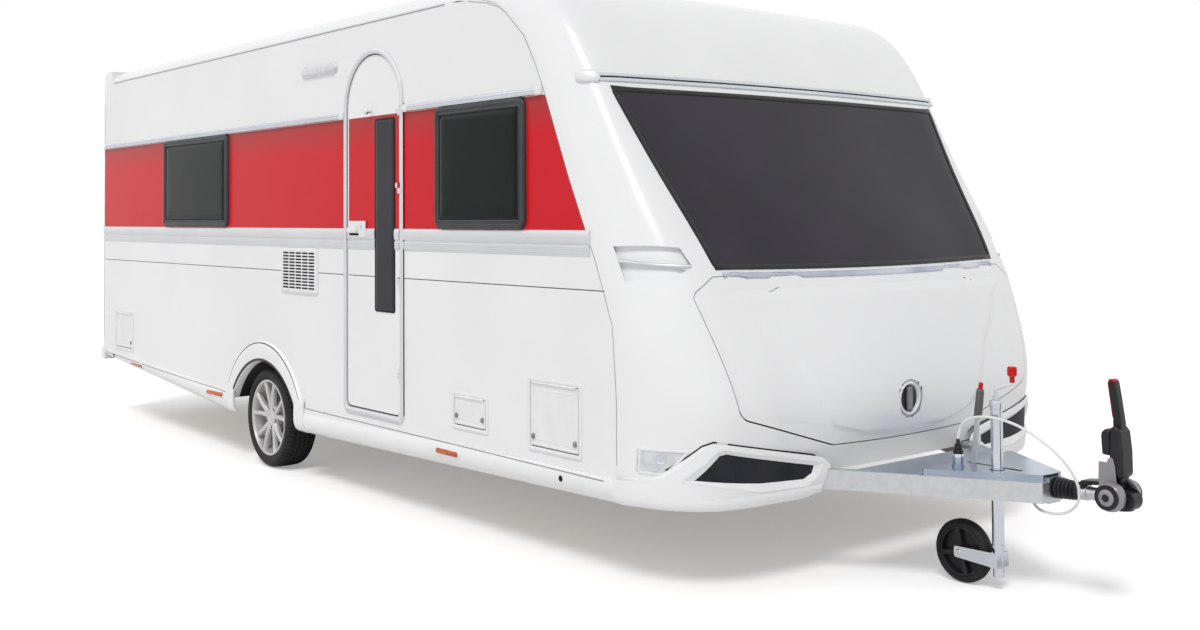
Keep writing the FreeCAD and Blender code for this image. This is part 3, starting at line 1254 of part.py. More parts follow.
def cable():
    bends = []
    for index in range(1, len(CABLE_ROUTE) - 1):
        here = Vector(*CABLE_ROUTE[index])
        back = Vector(*CABLE_ROUTE[index - 1]) - here
        ahead = Vector(*CABLE_ROUTE[index + 1]) - here
        half_turn = (math.pi - back.getAngle(ahead)) / 2
        bends.append(0.45 * min(back.Length, ahead.Length) / math.tan(half_turn))
    print("cable radii, mm:", [round(bend) for bend in bends])
    return sweep_route(CABLE_ROUTE, bends, CABLE_DIAMETER / 2)


def main():
    for name, maker in (
        ("chassis_rail", chassis_rail), ("drawbar_beam", drawbar_beam), ("swing_arm", swing_arm),
        ("rim", rim), ("tyre", tyre), ("side_wall", side_wall), ("wheel_arch", wheel_arch),
    ):
        for side_name, shape in both_sides(maker):
            save(name + "_" + side_name, shape)
    save("skirts", Part.makeCompound([piece for side in (-1, 1) for piece in skirts(side).Solids]))
    save("chassis_cross_members", cross_members())
    save("axle_tube", axle_tube())
    save("drawbar_cover", drawbar_cover())
    save("overrun_tube", overrun_tube())
    save("overrun_bellows", bellows())
    save("coupling_head", coupling_head())
    save("coupling_handle", coupling_handle())
    save("jockey_outer_tube", jockey_outer_tube())
    save("jockey_clamp", jockey_clamp())
    save("jockey_leg", jockey_leg())
    save("jockey_wheel", jockey_wheel())
    save("handbrake_lever", handbrake_lever())
    save("locker_bulkhead", bulkhead())
    save("roof_panel", roof_panel())
    save("rear_wall", rear_wall())
    shell = front_shell()
    save("floor_panel", floor_panel(shell))
    save("front_panel", front_panel(shell))
    save("gas_locker_lid", gas_locker_lid(shell))
    save("lid_latch", lid_latch())
    save("grab_handles", grab_handles())
    bumper = moulded_shell(BUMPER_STATIONS, BUMPER_PROUD, 1)
    bumper = bumper.cut(shell)
    save("front_bumpers", Part.makeCompound([front_bumper(side, bumper) for side in (-1, 1)]))
    save("bumper_grilles", Part.makeCompound([bumper_grille(side, bumper) for side in (-1, 1)]))
    save("window_frames", all_windows(window_frame))
    front_pane = shell.common(slab(window_outline(0.0), "x", 1800, 3000))
    save("window_panes", Part.makeCompound(all_windows(window_pane).Solids + front_pane.Solids))
    save("door_frame", door_frame())
    save("entrance_door", entrance_door())
    x0, x1, z0, z1 = DOOR_WINDOW
    save("door_window", slab(rectangle(x0, x1, z0, z1, 14), "y", -HALF - 2, -INNER_HALF))
    save("door_handle", door_handle())
    save("hatch_frames", Part.makeCompound([hatch_frame(*size) for size in HATCHES.values()]))
    for name, size in HATCHES.items():
        save("hatch_lid_" + name, hatch_lid(*size))
    save("fridge_vent", fridge_vent())
    save("rear_bumper", rear_bumper())
    save("lamps", lamps(shell))
    save("rooflight_frame", rooflight_frame())
    save("rooflight_lid", rooflight_lid())
    save("steady_brackets", steady_brackets())
    for name, (x, side, heading) in STEADIES.items():
        save(name, steady(x, side, heading))
    save("connector_plug", connector_plug())
    save("connector_cable", cable())


main()
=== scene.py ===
"""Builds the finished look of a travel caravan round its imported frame."""

from math import atan2, copysign, cos, hypot, radians, sin, tau

import bpy
from bpy.props import FloatProperty, FloatVectorProperty, IntProperty, PointerProperty
from mathutils import Euler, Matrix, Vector


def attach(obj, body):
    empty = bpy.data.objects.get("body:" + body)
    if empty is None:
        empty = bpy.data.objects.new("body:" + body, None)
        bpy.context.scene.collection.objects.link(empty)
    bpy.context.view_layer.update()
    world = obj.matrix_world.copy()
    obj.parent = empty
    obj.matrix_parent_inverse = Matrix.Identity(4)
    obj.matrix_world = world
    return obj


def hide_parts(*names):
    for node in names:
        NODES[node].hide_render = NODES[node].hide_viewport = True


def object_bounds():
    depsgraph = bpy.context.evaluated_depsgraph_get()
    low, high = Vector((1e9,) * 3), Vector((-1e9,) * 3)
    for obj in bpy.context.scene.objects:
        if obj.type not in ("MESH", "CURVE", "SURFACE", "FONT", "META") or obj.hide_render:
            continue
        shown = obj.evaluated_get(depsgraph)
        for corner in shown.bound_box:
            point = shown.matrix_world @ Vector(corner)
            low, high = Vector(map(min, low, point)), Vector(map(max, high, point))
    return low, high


bl_info = {
    "name": "Travel Caravan",
    "version": (1, 0, 0),
    "blender": (4, 5, 0),
    "location": "View3D > Sidebar > Caravan",
    "description": "Trim, glazing, running gear and finishes for a travel caravan",
    "category": "Object",
}

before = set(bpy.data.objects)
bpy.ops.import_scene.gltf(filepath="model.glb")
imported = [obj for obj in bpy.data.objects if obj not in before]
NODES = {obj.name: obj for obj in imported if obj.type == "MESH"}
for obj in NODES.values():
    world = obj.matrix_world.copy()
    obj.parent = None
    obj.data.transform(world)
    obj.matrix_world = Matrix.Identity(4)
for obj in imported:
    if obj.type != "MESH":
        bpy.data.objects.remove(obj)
CAD_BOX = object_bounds()

AXIS_GAP = 0.0001   # radius that stands for a point on the axis of a turned piece

# Body lines, in metres
SIDES = ((-1, "right"), (1, "left"))
WALL_Y = 1.25
SIDE_REAR_X = -3.797
BELT_HIGH = 1.452
BAND_HIGH = 2.045
RAIL_Z = 2.064
COACHLINE_Z = 1.20
DOOR_X = (0.121, 0.676)
DOOR_Z = (0.5, 2.369)
DOOR_GAP = 0.006
WINDOWS_RIGHT = ((-2.532, -1.454, 1.456, 2.05), (1.029, 1.775, 1.454, 2.046))
WINDOWS_LEFT = ((-2.532, -1.454, 1.456, 2.05), (-0.42, 0.33, 1.456, 2.05), (1.029, 1.775, 1.454, 2.046))
REAR_WINDOW = (-0.56, 0.56, 1.5, 2.0)
REAR_FOOT = (-3.893, 0.512)
REAR_SLOPE = 0.04 / 2.128
HATCHES = {"rear": (-3.54, -3.15, 0.531, 0.829), "mid": (1.16, 1.47, 0.5, 0.68), "front": (1.78, 2.17, 0.48, 0.805)}
VENT = (-0.683, -0.226, 1.078, 1.336)
AXLE_X, AXLE_Z, TYRE_FACE = -0.97, 0.3, 1.215
HITCH_Z = 0.43
JOCKEY = (3.405, -0.1)
LATCH_X, LATCH_Z = 2.884, 0.707
LID_TOP = 1.207
LOBE = (3.869, 0, 0.442)
HANDLE = (3.875, 0.472)
BELT_DEPTH = 0.009

# The camera's place in metres, its turn in degrees and its lens in millimetres
CAMERA_PLACE = (6.541, -4.690, 1.511)
CAMERA_TILT, CAMERA_HEADING, CAMERA_ROLL = 91.602, 50.98, -0.3227
CAMERA_LENS, CAMERA_SENSOR, CAMERA_SHIFT = 39.49, 36, -0.11318


# ---------------------------------------------------------------- sizes and colours a user changes

class CaravanPaint(bpy.types.PropertyGroup):
    body: FloatVectorProperty(name="Body", description="White of the body panels", subtype="COLOR", size=3,
        default=(0.86, 0.865, 0.87))
    band: FloatVectorProperty(name="Band", description="Red of the band round the body", subtype="COLOR", size=3,
        default=(0.63, 0.011, 0.02))
    band_shade: FloatVectorProperty(name="Band shade", description="Duller red under the light rail", subtype="COLOR",
        size=3, default=(0.42, 0.04, 0.04))
    trim: FloatVectorProperty(name="Trim", description="Silver of the belt moulding and rails", subtype="COLOR",
        size=3, default=(0.70, 0.71, 0.73))
    frame_grey: FloatVectorProperty(name="Window frames", description="Dark grey of the side window frames",
        subtype="COLOR", size=3, default=(0.055, 0.06, 0.065))
    glass: FloatVectorProperty(name="Side glass", description="Tint of the side windows", subtype="COLOR", size=3,
        default=(0.004, 0.007, 0.006))
    front_glass: FloatVectorProperty(name="Front glass", description="Tint of the front window", subtype="COLOR",
        size=3, default=(0.03, 0.028, 0.036))


class CaravanSizes(bpy.types.PropertyGroup):
    belt_depth: FloatProperty(name="Belt depth", description="How far the belt moulding stands off the wall",
        default=BELT_DEPTH, min=0.002, max=0.03, unit="LENGTH")
    tread_blocks: IntProperty(name="Tread blocks", description="Blocks round each shoulder of a tyre", default=64,
        min=24, max=120)
    cable_diameter: FloatProperty(name="Cable diameter", description="Diameter of the connector cable", default=0.011,
        min=0.006, max=0.016, unit="LENGTH")
    cable_length: FloatProperty(name="Cable length", description="Length of the connector cable", default=0.95,
        min=0.5, max=2.0, unit="LENGTH")


# ---------------------------------------------------------------- workshop

def mm(*values):
    """Pairs in metres, from plain numbers in millimetres."""
    return [(a / 1000, b / 1000) for a, b in zip(values[::2], values[1::2])]


def deselect():
    bpy.ops.object.select_all(action="DESELECT")


def mode(kind):
    bpy.ops.object.mode_set(mode=kind)


def only(piece):
    """Make one piece the selected and active one."""
    deselect()
    piece.hide_viewport = False
    piece.select_set(True)
    bpy.context.view_layer.objects.active = piece


def added(name):
    """Name the piece that an operator has just added."""
    piece = bpy.context.active_object
    piece.name = name
    piece.data.name = name
    return piece


def settle(piece):
    """Put a piece's place, turn and size into its mesh."""
    only(piece)
    bpy.ops.object.transform_apply(location=True, rotation=True, scale=True)


def face_outwards(piece):
    only(piece)
    mode("EDIT")
    bpy.ops.mesh.select_all(action="SELECT")
    bpy.ops.mesh.remove_doubles(threshold=0.00002)
    bpy.ops.mesh.normals_make_consistent(inside=False)
    mode("OBJECT")


def smooth(piece, angle=40.0):
    only(piece)
    bpy.ops.object.shade_smooth_by_angle(angle=radians(angle))


def modify(piece, kind, **values):
    """Add a modifier, set it and apply it."""
    only(piece)
    modifier = piece.modifiers.new(kind.title(), kind)
    for key, value in values.items():
        setattr(modifier, key, value)
    bpy.ops.object.modifier_apply(modifier=modifier.name)


def eased(piece, width, segments=3, angle=35.0):
    """Round a piece's edges."""
    modify(piece, "BEVEL", width=width, segments=segments, limit_method="ANGLE", angle_limit=radians(angle),
        harden_normals=False)
    smooth(piece)
    return piece


def join(name, pieces):
    deselect()
    for piece in pieces:
        piece.select_set(True)
    bpy.context.view_layer.objects.active = pieces[0]
    if len(pieces) > 1:
        bpy.ops.object.join()
    return added(name)


def dress(piece, look, replaces=(), body="root"):
    """Give a finished piece its finish, its body and the nodes that it stands for."""
    piece.data.materials.clear()
    piece.data.materials.append(FINISHES[look])
    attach(piece, body)
    if replaces:
        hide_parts(*replaces)
    return piece


def block(name, low, high, edge=0.0, segments=3):
    """A box between two corners with its edges rounded."""
    low, high = Vector(low), Vector(high)
    deselect()
    bpy.ops.mesh.primitive_cube_add(size=1, location=(low + high) / 2, scale=high - low)
    piece = added(name)
    settle(piece)
    if edge:
        eased(piece, edge, segments)
    return piece


def rod(name, start, end, radius, sides=32, edge=0.0):
    """A round bar between two points."""
    start, end = Vector(start), Vector(end)
    deselect()
    bpy.ops.mesh.primitive_cone_add(vertices=sides, radius1=radius, radius2=radius, depth=(end - start).length,
        location=(start + end) / 2, rotation=(end - start).to_track_quat("Z", "Y").to_euler())
    piece = added(name)
    settle(piece)
    if edge:
        eased(piece, edge, 2)
    else:
        smooth(piece)
    return piece


def pick(piece, test):
    """Select the vertices whose index passes a test, in edit mode."""
    mode("OBJECT")
    for vertex in piece.data.vertices:
        vertex.select = test(vertex.index)
    mode("EDIT")
    bpy.ops.mesh.select_mode(type="VERT")


def loft(name, loops, closed=False, caps=True, angle=40.0):
    """A skin over equal loops of points: the first loop is drawn, and extruded once for each of the others."""
    count = len(loops[0])
    last = count * (len(loops) - 1)
    deselect()
    bpy.ops.mesh.primitive_circle_add(vertices=count, radius=1, fill_type="NOTHING")
    piece = added(name)
    for vertex, point in zip(piece.data.vertices, loops[0]):
        vertex.co = point
    mode("EDIT")
    bpy.ops.mesh.select_all(action="SELECT")
    for number, loop in enumerate(loops[1:], 1):
        bpy.ops.mesh.extrude_region_move()
        mode("OBJECT")
        for index, point in enumerate(loop):
            piece.data.vertices[count * number + index].co = point
        mode("EDIT")
    if closed:
        pick(piece, lambda index: index < count or index >= last)
        bpy.ops.mesh.bridge_edge_loops()
    elif caps:
        for first in (0, last):
            bpy.ops.mesh.select_all(action="DESELECT")
            pick(piece, lambda index: first <= index < first + count)
            bpy.ops.mesh.edge_face_add()
    mode("OBJECT")
    face_outwards(piece)
    smooth(piece, angle)
    return piece


def plain_loop(centre, along, radius, sides):
    """A ring of points round a centre, square to a direction."""
    along = Vector(along).normalized()
    across = along.orthogonal().normalized()
    up = along.cross(across)
    turns = [tau * index / sides for index in range(sides)]
    return [Vector(centre) + across * radius * cos(t) + up * radius * sin(t) for t in turns]


def turned(name, profile, centre, axis="y", sides=48, angle=40.0):
    """A closed ring turned from (radius, place along the axis) points that start and end on one line."""
    u, v, w = (Vector(way) for way in {"x": ((0, 1, 0), (0, 0, 1), (1, 0, 0)), "y": ((1, 0, 0), (0, 0, 1), (0, 1, 0)),
        "z": ((1, 0, 0), (0, 1, 0), (0, 0, 1))}[axis])
    turns = [tau * index / sides for index in range(sides)]
    loops = [[Vector(centre) + (u * cos(t) + v * sin(t)) * (radius or AXIS_GAP) + w * along for t in turns]
        for radius, along in profile]
    hollow = profile[0] == profile[-1]
    return loft(name, loops[:-1] if hollow else loops, closed=hollow, caps=not hollow, angle=angle)


def arc(a, b, radius, start, sweep, steps):
    """Points along an arc, its angles in degrees."""
    turns = [radians(start + sweep * step / steps) for step in range(steps + 1)]
    return [(a + radius * cos(turn), b + radius * sin(turn)) for turn in turns]


def rounded(a0, a1, b0, b1, radius, steps=6):
    """Points round a rectangle with round corners, anticlockwise from its right-hand side."""
    low, high = b0 + radius, b1 - radius
    return [point for a, b, start in ((a1 - radius, low, -90), (a1 - radius, high, 0), (a0 + radius, high, 90),
        (a0 + radius, low, 180)) for point in arc(a, b, radius, start, 90, steps)]


def on_wall(points, side):
    """Plane points (x, z) put on a side wall; the outward direction comes with them."""
    return [Vector((x, side * WALL_Y, z)) for x, z in points], Vector((0, side, 0))


def on_right(points):
    return on_wall(points, -1)


def on_left(points):
    return on_wall(points, 1)


def on_rear(points):
    """Plane points (y, z) put on the leaning rear wall, with its outward direction."""
    placed = [Vector((REAR_FOOT[0] + (z - REAR_FOOT[1]) * REAR_SLOPE, y, z)) for y, z in points]
    return placed, Vector((-1, 0, REAR_SLOPE)).normalized()


def moulding(name, path, outs, profile, closed=True, angle=40.0):
    """A section of (inwards, outwards) points run along a path; outs is the way out of the surface."""
    count = len(path)
    if isinstance(outs, Vector):
        outs = [outs] * count
    loops = []
    for index, point in enumerate(path):
        before = path[index - 1] if closed or index else point
        after = path[(index + 1) % count] if closed or index < count - 1 else point
        ahead = (after - before).normalized()
        inward = outs[index].cross(ahead).normalized()
        stretch = 1.0
        if before is not point and after is not point:
            turn = (point - before).angle(after - point, 0.0)
            stretch = 1 / max(cos(turn / 2), 0.3)
        loops.append([point + inward * (a * stretch) + outs[index] * b for a, b in profile])
    return loft(name, loops, closed=closed, caps=not closed, angle=angle)


def framed(name, placer, box, radius, section, steps=6, angle=40.0):
    """A section run round a rectangle with round corners that a placer puts on the body."""
    return moulding(name, *placer(rounded(*box, radius, steps)), section, angle=angle)


def domed(name, placer, box, radius, rows, steps=6, shrink=1.0, least=0.001, angle=40.0):
    """A raised shape of round-cornered rings that a placer puts on the body, one for each (inset, lift)."""
    loops = []
    for inset, lift in rows:
        places, outs = placer(rounded(*within(box, inset), max(radius - inset * shrink, least), steps))
        if isinstance(outs, Vector):
            outs = [outs] * len(places)
        loops.append([place + out * lift for place, out in zip(places, outs)])
    return loft(name, loops, angle=angle)


def within(box, margin):
    """A box of plane sides, made smaller by a margin all round."""
    return box[0] + margin, box[1] - margin, box[2] + margin, box[3] - margin


def traced(corners, steps, side=1, closed=True):
    """Points along a line of corners, each stretch in equal steps; side mirrors the first value."""
    ends = corners[1:] + corners[:1] if closed else corners[1:]
    return [(side * (a + (c - a) * step / steps), b + (d - b) * step / steps) for (a, b), (c, d) in zip(corners, ends)
        for step in range(steps)]


def hit(names, start, direction):
    """Where a straight line meets the nearest of some nodes, and the way out there."""
    best = None
    for name in names:
        found, place, normal, _ = NODES[name].ray_cast(Vector(start), Vector(direction))
        if found and (best is None or (place - Vector(start)).length < (best[0] - Vector(start)).length):
            best = (place, normal)
    return best


FRONT = ("front_panel", "window_panes", "gas_locker_lid")


def on_front(points, names=FRONT):
    """Points (y, z) thrown on to the moulded front, with the way out at each."""
    places, outs = [], []
    for y, z in points:
        met = hit(names, (4.5, y, z), (-1, 0, 0))
        if met is None:
            raise RuntimeError(f"nothing in front at {y:.3f}, {z:.3f}")
        place, normal = met
        normal = normal if normal.x > 0 else -normal
        places.append(place)
        outs.append(normal.normalized())
    return places, outs


# ---------------------------------------------------------------- finishes

def node(material, kind, **values):
    made = material.node_tree.nodes.new(kind)
    for key, value in values.items():
        if key in made.inputs:
            made.inputs[key].default_value = value
        else:
            setattr(made, key, value)
    return made


def finish(name, colour, rough=0.4, metallic=0.0, coat=0.0, specular=0.5):
    """A new material with its plain values on the shader."""
    material = bpy.data.materials.new(name)
    material.use_nodes = True
    shader = material.node_tree.nodes["Principled BSDF"]
    shader.inputs["Base Color"].default_value = (*colour, 1)
    shader.inputs["Roughness"].default_value = rough
    shader.inputs["Metallic"].default_value = metallic
    shader.inputs["Coat Weight"].default_value = coat
    shader.inputs["Coat Roughness"].default_value = 0.04
    shader.inputs["Specular IOR Level"].default_value = specular
    return material


def shader_of(material):
    return material.node_tree.nodes["Principled BSDF"]


def place_of(material):
    """Object coordinates of the piece that wears the material."""
    return node(material, "ShaderNodeTexCoord").outputs["Object"]


def noise(material, scale, detail=3.0, stretch=(1, 1, 1)):
    links = material.node_tree.links
    mapping = node(material, "ShaderNodeMapping")
    mapping.inputs["Scale"].default_value = stretch
    links.new(place_of(material), mapping.inputs["Vector"])
    made = node(material, "ShaderNodeTexNoise", Scale=scale, Detail=detail)
    links.new(mapping.outputs["Vector"], made.inputs["Vector"])
    return made.outputs["Fac"]


def bumped(material, height, strength, depth=0.001):
    links = material.node_tree.links
    bump = node(material, "ShaderNodeBump", Strength=strength, Distance=depth)
    links.new(height, bump.inputs["Height"])
    links.new(bump.outputs["Normal"], shader_of(material).inputs["Normal"])
    return material


def ramp(material, value, low, high, start, end):
    """A value spread between two results."""
    spread = node(material, "ShaderNodeMapRange")
    for key, number in (("From Min", low), ("From Max", high), ("To Min", start), ("To Max", end)):
        spread.inputs[key].default_value = number
    material.node_tree.links.new(value, spread.inputs["Value"])
    return spread.outputs["Result"]


def mixed(material, share, first, second):
    """Two colours, or a colour socket and a colour, mixed by a share."""
    links = material.node_tree.links
    mix = node(material, "ShaderNodeMix", data_type="RGBA")
    links.new(share, mix.inputs["Factor"])
    for socket, colour in ((mix.inputs["A"], first), (mix.inputs["B"], second)):
        if isinstance(colour, bpy.types.NodeSocket):
            links.new(colour, socket)
        else:
            socket.default_value = (*colour, 1)
    return mix.outputs["Result"]


def coloured(material, socket):
    material.node_tree.links.new(socket, shader_of(material).inputs["Base Color"])
    return material


def mottled(material, colour, other, scale, low=0.35, high=0.65):
    """Slow variation between two near colours."""
    share = ramp(material, noise(material, scale), low, high, 0.0, 1.0)
    return coloured(material, mixed(material, share, colour, other))


def worn(material, scale, low, high):
    """Roughness that varies over the surface, as with handling and weather."""
    value = ramp(material, noise(material, scale, 6.0), 0.3, 0.7, low, high)
    material.node_tree.links.new(value, shader_of(material).inputs["Roughness"])
    return material


# Name, roughness, metallic, coat, specular level, two colours, the size of their clouds, and then the surface:
# "worn" with its scale and range of roughness, or "bump" with its strength, depth, scale, detail and stretch.
# A colour in words is the user's own, and its second one is a multiple of it.
MIXES = {
    "body": ("gel_coat_white", 0.24, 0, 0.25, 0.3, "body", 0.965, 1.3, "bump", 0.04, 0.001, 260, 2),
    "belt": ("belt_silver", 0.32, 0.35, 0.3, 0.5, "trim", 0.94, 2, "worn", 4, 0.28, 0.36),
    "rail": ("rail_alloy", 0.26, 0.75, 0, 0.5, (0.66, 0.68, 0.72), (0.6, 0.62, 0.66), 3, "worn", 6, 0.2, 0.3),
    "frame": ("frame_grey", 0.42, 0, 0, 0.2, "frame_grey", 0.8, 9, "bump", 0.12, 0.001, 900),
    "glass": ("side_glass", 0.05, 0, 0, 0.1, "glass", 1.5, 1.1),
    "front_glass": ("front_glass", 0.2, 0, 0, 0.12, "front_glass", 1.35, 1.6, "bump", 0.08, 0.001, 420, 4),
    "plastic": ("white_plastic", 0.34, 0, 0, 0.5, (0.82, 0.825, 0.83), (0.78, 0.785, 0.79), 12,
                "bump", 0.06, 0.001, 700),
    "sheet": ("brushed_cover", 0.2, 1, 0, 0.5, (0.44, 0.5, 0.6), (0.34, 0.39, 0.49), 4,
              "bump", 0.05, 0.001, 90, 4, (0.15, 4, 4)),
    "chrome": ("chrome", 0.09, 1, 0, 0.5, (0.72, 0.75, 0.8), (0.66, 0.69, 0.74), 9, "worn", 12, 0.06, 0.14),
    "rubber": ("tyre_rubber", 0.6, 0, 0, 0.25, (0.011, 0.011, 0.0115), (0.02, 0.0195, 0.019), 14,
               "bump", 0.18, 0.001, 500),
    "alloy": ("wheel_alloy", 0.34, 0.45, 0, 0.5, (0.62, 0.61, 0.605), (0.55, 0.54, 0.535), 8, "worn", 12, 0.3, 0.4),
    "black": ("black_plastic", 0.34, 0, 0, 0.3, (0.011, 0.0115, 0.013), (0.018, 0.0185, 0.02), 10,
              "bump", 0.1, 0.001, 800),
    "grey": ("grey_plastic", 0.4, 0, 0, 0.5, (0.24, 0.24, 0.25), (0.19, 0.19, 0.2), 10, "bump", 0.1, 0.001, 700),
    "red": ("red_plastic", 0.3, 0, 0, 0.25, (0.6, 0.008, 0.012), (0.48, 0.006, 0.009), 14, "bump", 0.05, 0.001, 600),
    "lobe": ("friction_pad_grey", 0.26, 0.3, 0, 0.5, (0.31, 0.3, 0.315), (0.26, 0.25, 0.265), 10,
             "bump", 0.06, 0.001, 600),
    "grip": ("brake_grip_grey", 0.42, 0, 0, 0.5, (0.105, 0.104, 0.11), (0.075, 0.075, 0.08), 16,
             "bump", 0.15, 0.001, 900),
    "cast": ("drum_cast", 0.6, 0.6, 0, 0.5, (0.13, 0.125, 0.12), (0.09, 0.08, 0.07), 18, "bump", 0.3, 0.001, 260, 5),
    "dome": ("rooflight_acrylic", 0.16, 0, 0.5, 0.5, (0.58, 0.6, 0.61), (0.5, 0.52, 0.53), 3),
    # Near-black for real dark parts (rubber beads, door seal, rail gap, steady covers), and also painted shade in the
    # handle recess, vent openings, bolt pockets and along the bumpers' edge
    "seam": ("seam_dark", 0.6, 0, 0, 0.1, (0.012, 0.012, 0.013), (0.02, 0.02, 0.021), 6),
    "sealant": ("sealant_grey", 0.6, 0, 0, 0.5, (0.32, 0.325, 0.33), (0.26, 0.265, 0.27), 10),
    "amber": ("amber_lens", 0.12, 0, 0.2, 0.3, (0.66, 0.13, 0.006), (0.4, 0.05, 0.003), 45),
    "lens": ("clear_lens", 0.1, 0, 0.8, 0.5, (0.7, 0.71, 0.72), (0.56, 0.57, 0.58), 26,
             "bump", 0.25, 0.001, 1, 1, (60, 160, 8)),
    "tail": ("tail_lens", 0.14, 0, 0.7, 0.5, (0.42, 0.01, 0.012), (0.3, 0.008, 0.01), 50),
    "cable": ("cable_white", 0.36, 0, 0, 0.5, (0.82, 0.82, 0.81), (0.74, 0.74, 0.725), 20, "bump", 0.05, 0.001, 300),
    "ply": ("birch_ply", 0.6, 0, 0, 0.5, (0.52, 0.4, 0.26), (0.42, 0.3, 0.18), 5,
            "bump", 0.1, 0.001, 60, 4, (0.1, 3, 3)),
    # The window strip's slow silver-to-blue clouds are a painted reflection on the polished metal
    "strip": ("window_strip", 0.16, 0.9, 0, 0.5, (0.62, 0.64, 0.7), (0.36, 0.38, 0.5), 2.2,
              "bump", 0.04, 0.001, 120, 3, (4, 0.2, 4)),
    "mesh": ("grille_mesh", 0.5, 0, 0, 0.2, (0.01, 0.011, 0.016), (0.02, 0.021, 0.028), 9,
             "bump", 0.5, 0.003, 1, 1, (20, 260, 260)),
}


def paints():
    """Every finish of the caravan, by name."""
    paint, made = bpy.context.scene.caravan_paint, {}
    for key, (name, rough, metallic, coat, specular, first, second, clouds, *surface) in MIXES.items():
        if isinstance(first, str):
            first = tuple(getattr(paint, first))
            second = tuple(value * second for value in first)
        material = made[key] = finish(name, first, rough, metallic, coat, specular)
        mottled(material, first, second, clouds)
        if surface and surface[0] == "worn":
            worn(material, *surface[1:])
        elif surface:
            strength, depth, *pattern = surface[1:]
            bumped(material, noise(material, *pattern), strength, depth)
    made["wall"] = wall_paint(paint)
    zinc = made["zinc"] = finish("galvanised", (0.62, 0.635, 0.66), 0.38, metallic=0.8)
    cells = node(zinc, "ShaderNodeTexVoronoi", Scale=38.0)
    zinc.node_tree.links.new(place_of(zinc), cells.inputs["Vector"])
    share = ramp(zinc, cells.outputs["Distance"], 0.1, 0.8, 0.0, 1.0)
    coloured(zinc, mixed(zinc, share, (0.64, 0.65, 0.67), (0.59, 0.6, 0.62)))
    worn(zinc, 9.0, 0.3, 0.42)
    return made


def wall_paint(paint):
    """Side wall finish: white with the red band, its dull upper edge and the fine dark coachline."""
    white = tuple(paint.body)
    shade = tuple(value * 0.965 for value in white)
    material = finish("wall_white_red", white, 0.3, specular=0.12)
    links = material.node_tree.links
    split = node(material, "ShaderNodeSeparateXYZ")
    links.new(place_of(material), split.inputs["Vector"])
    height = split.outputs["Z"]
    base = mixed(material, ramp(material, noise(material, 1.3), 0.35, 0.65, 0.0, 1.0), white, shade)
    red = mixed(material, ramp(material, height, 1.87, BAND_HIGH, 0.0, 1.0), tuple(paint.band),
        tuple(paint.band_shade))
    low = ramp(material, height, BELT_HIGH - 0.02, BELT_HIGH - 0.0195, 0.0, 1.0)
    high = ramp(material, height, BAND_HIGH, BAND_HIGH + 0.0005, 1.0, 0.0)
    inside = node(material, "ShaderNodeMath", operation="MULTIPLY")
    links.new(low, inside.inputs[0])
    links.new(high, inside.inputs[1])
    banded = mixed(material, inside.outputs["Value"], base, red)
    off = node(material, "ShaderNodeMath", operation="SUBTRACT")
    links.new(height, off.inputs[0])
    off.inputs[1].default_value = COACHLINE_Z
    size = node(material, "ShaderNodeMath", operation="ABSOLUTE")
    links.new(off.outputs["Value"], size.inputs[0])
    line = ramp(material, size.outputs["Value"], 0.0022, 0.0026, 1.0, 0.0)
    coloured(material, mixed(material, line, banded, (0.09, 0.09, 0.1)))
    return bumped(material, noise(material, 260.0, 2.0), 0.03)


def pair(*names):
    """The right and left nodes of some names."""
    return [f"{name}_{word}" for name in names for _, word in SIDES]


FINISHES = {}
WEARS = {
    "wall": (*pair("side_wall"), "entrance_door"),
    "body": ("skirts", "roof_panel", "rear_wall", "front_panel", "gas_locker_lid", "front_bumpers", "rear_bumper"),
    "zinc": (*pair("chassis_rail", "drawbar_beam", "swing_arm", "steady_front", "steady_rear"),
             "chassis_cross_members", "axle_tube", "overrun_tube", "steady_brackets"),
    "sheet": ("drawbar_cover",),
    "chrome": ("jockey_outer_tube", "jockey_clamp", "jockey_leg"),
    "alloy": pair("rim"),
    "rubber": (*pair("tyre"), "jockey_wheel"),
    "ply": ("floor_panel", "locker_bulkhead"),
    "front_glass": ("window_panes",),
    "glass": ("door_window",),
    "frame": ("window_frames",),
    "belt": ("door_frame",),
    "rail": ("grab_handles",),
    "plastic": ("hatch_frames", "hatch_lid_rear", "hatch_lid_mid", "hatch_lid_front", "fridge_vent",
                "rooflight_frame", "door_handle"),
    "lens": ("lamps", "rooflight_lid"),
    "black": (*pair("wheel_arch"), "lid_latch", "bumper_grilles", "coupling_head", "coupling_handle",
              "handbrake_lever", "connector_plug", "overrun_bellows"),
    "cable": ("connector_cable",),
}


class CARAVAN_OT_finishes(bpy.types.Operator):
    """Mix the finishes and give each carried-over node its own"""

    bl_idname = "caravan.finishes"
    bl_label = "Finishes"

    def execute(self, context):
        FINISHES.update(paints())
        for name, nodes in WEARS.items():
            for part in nodes:
                slots = NODES[part].data.materials
                slots.clear()
                slots.append(FINISHES[name])
        return {"FINISHED"}


# ---------------------------------------------------------------- walls and trim

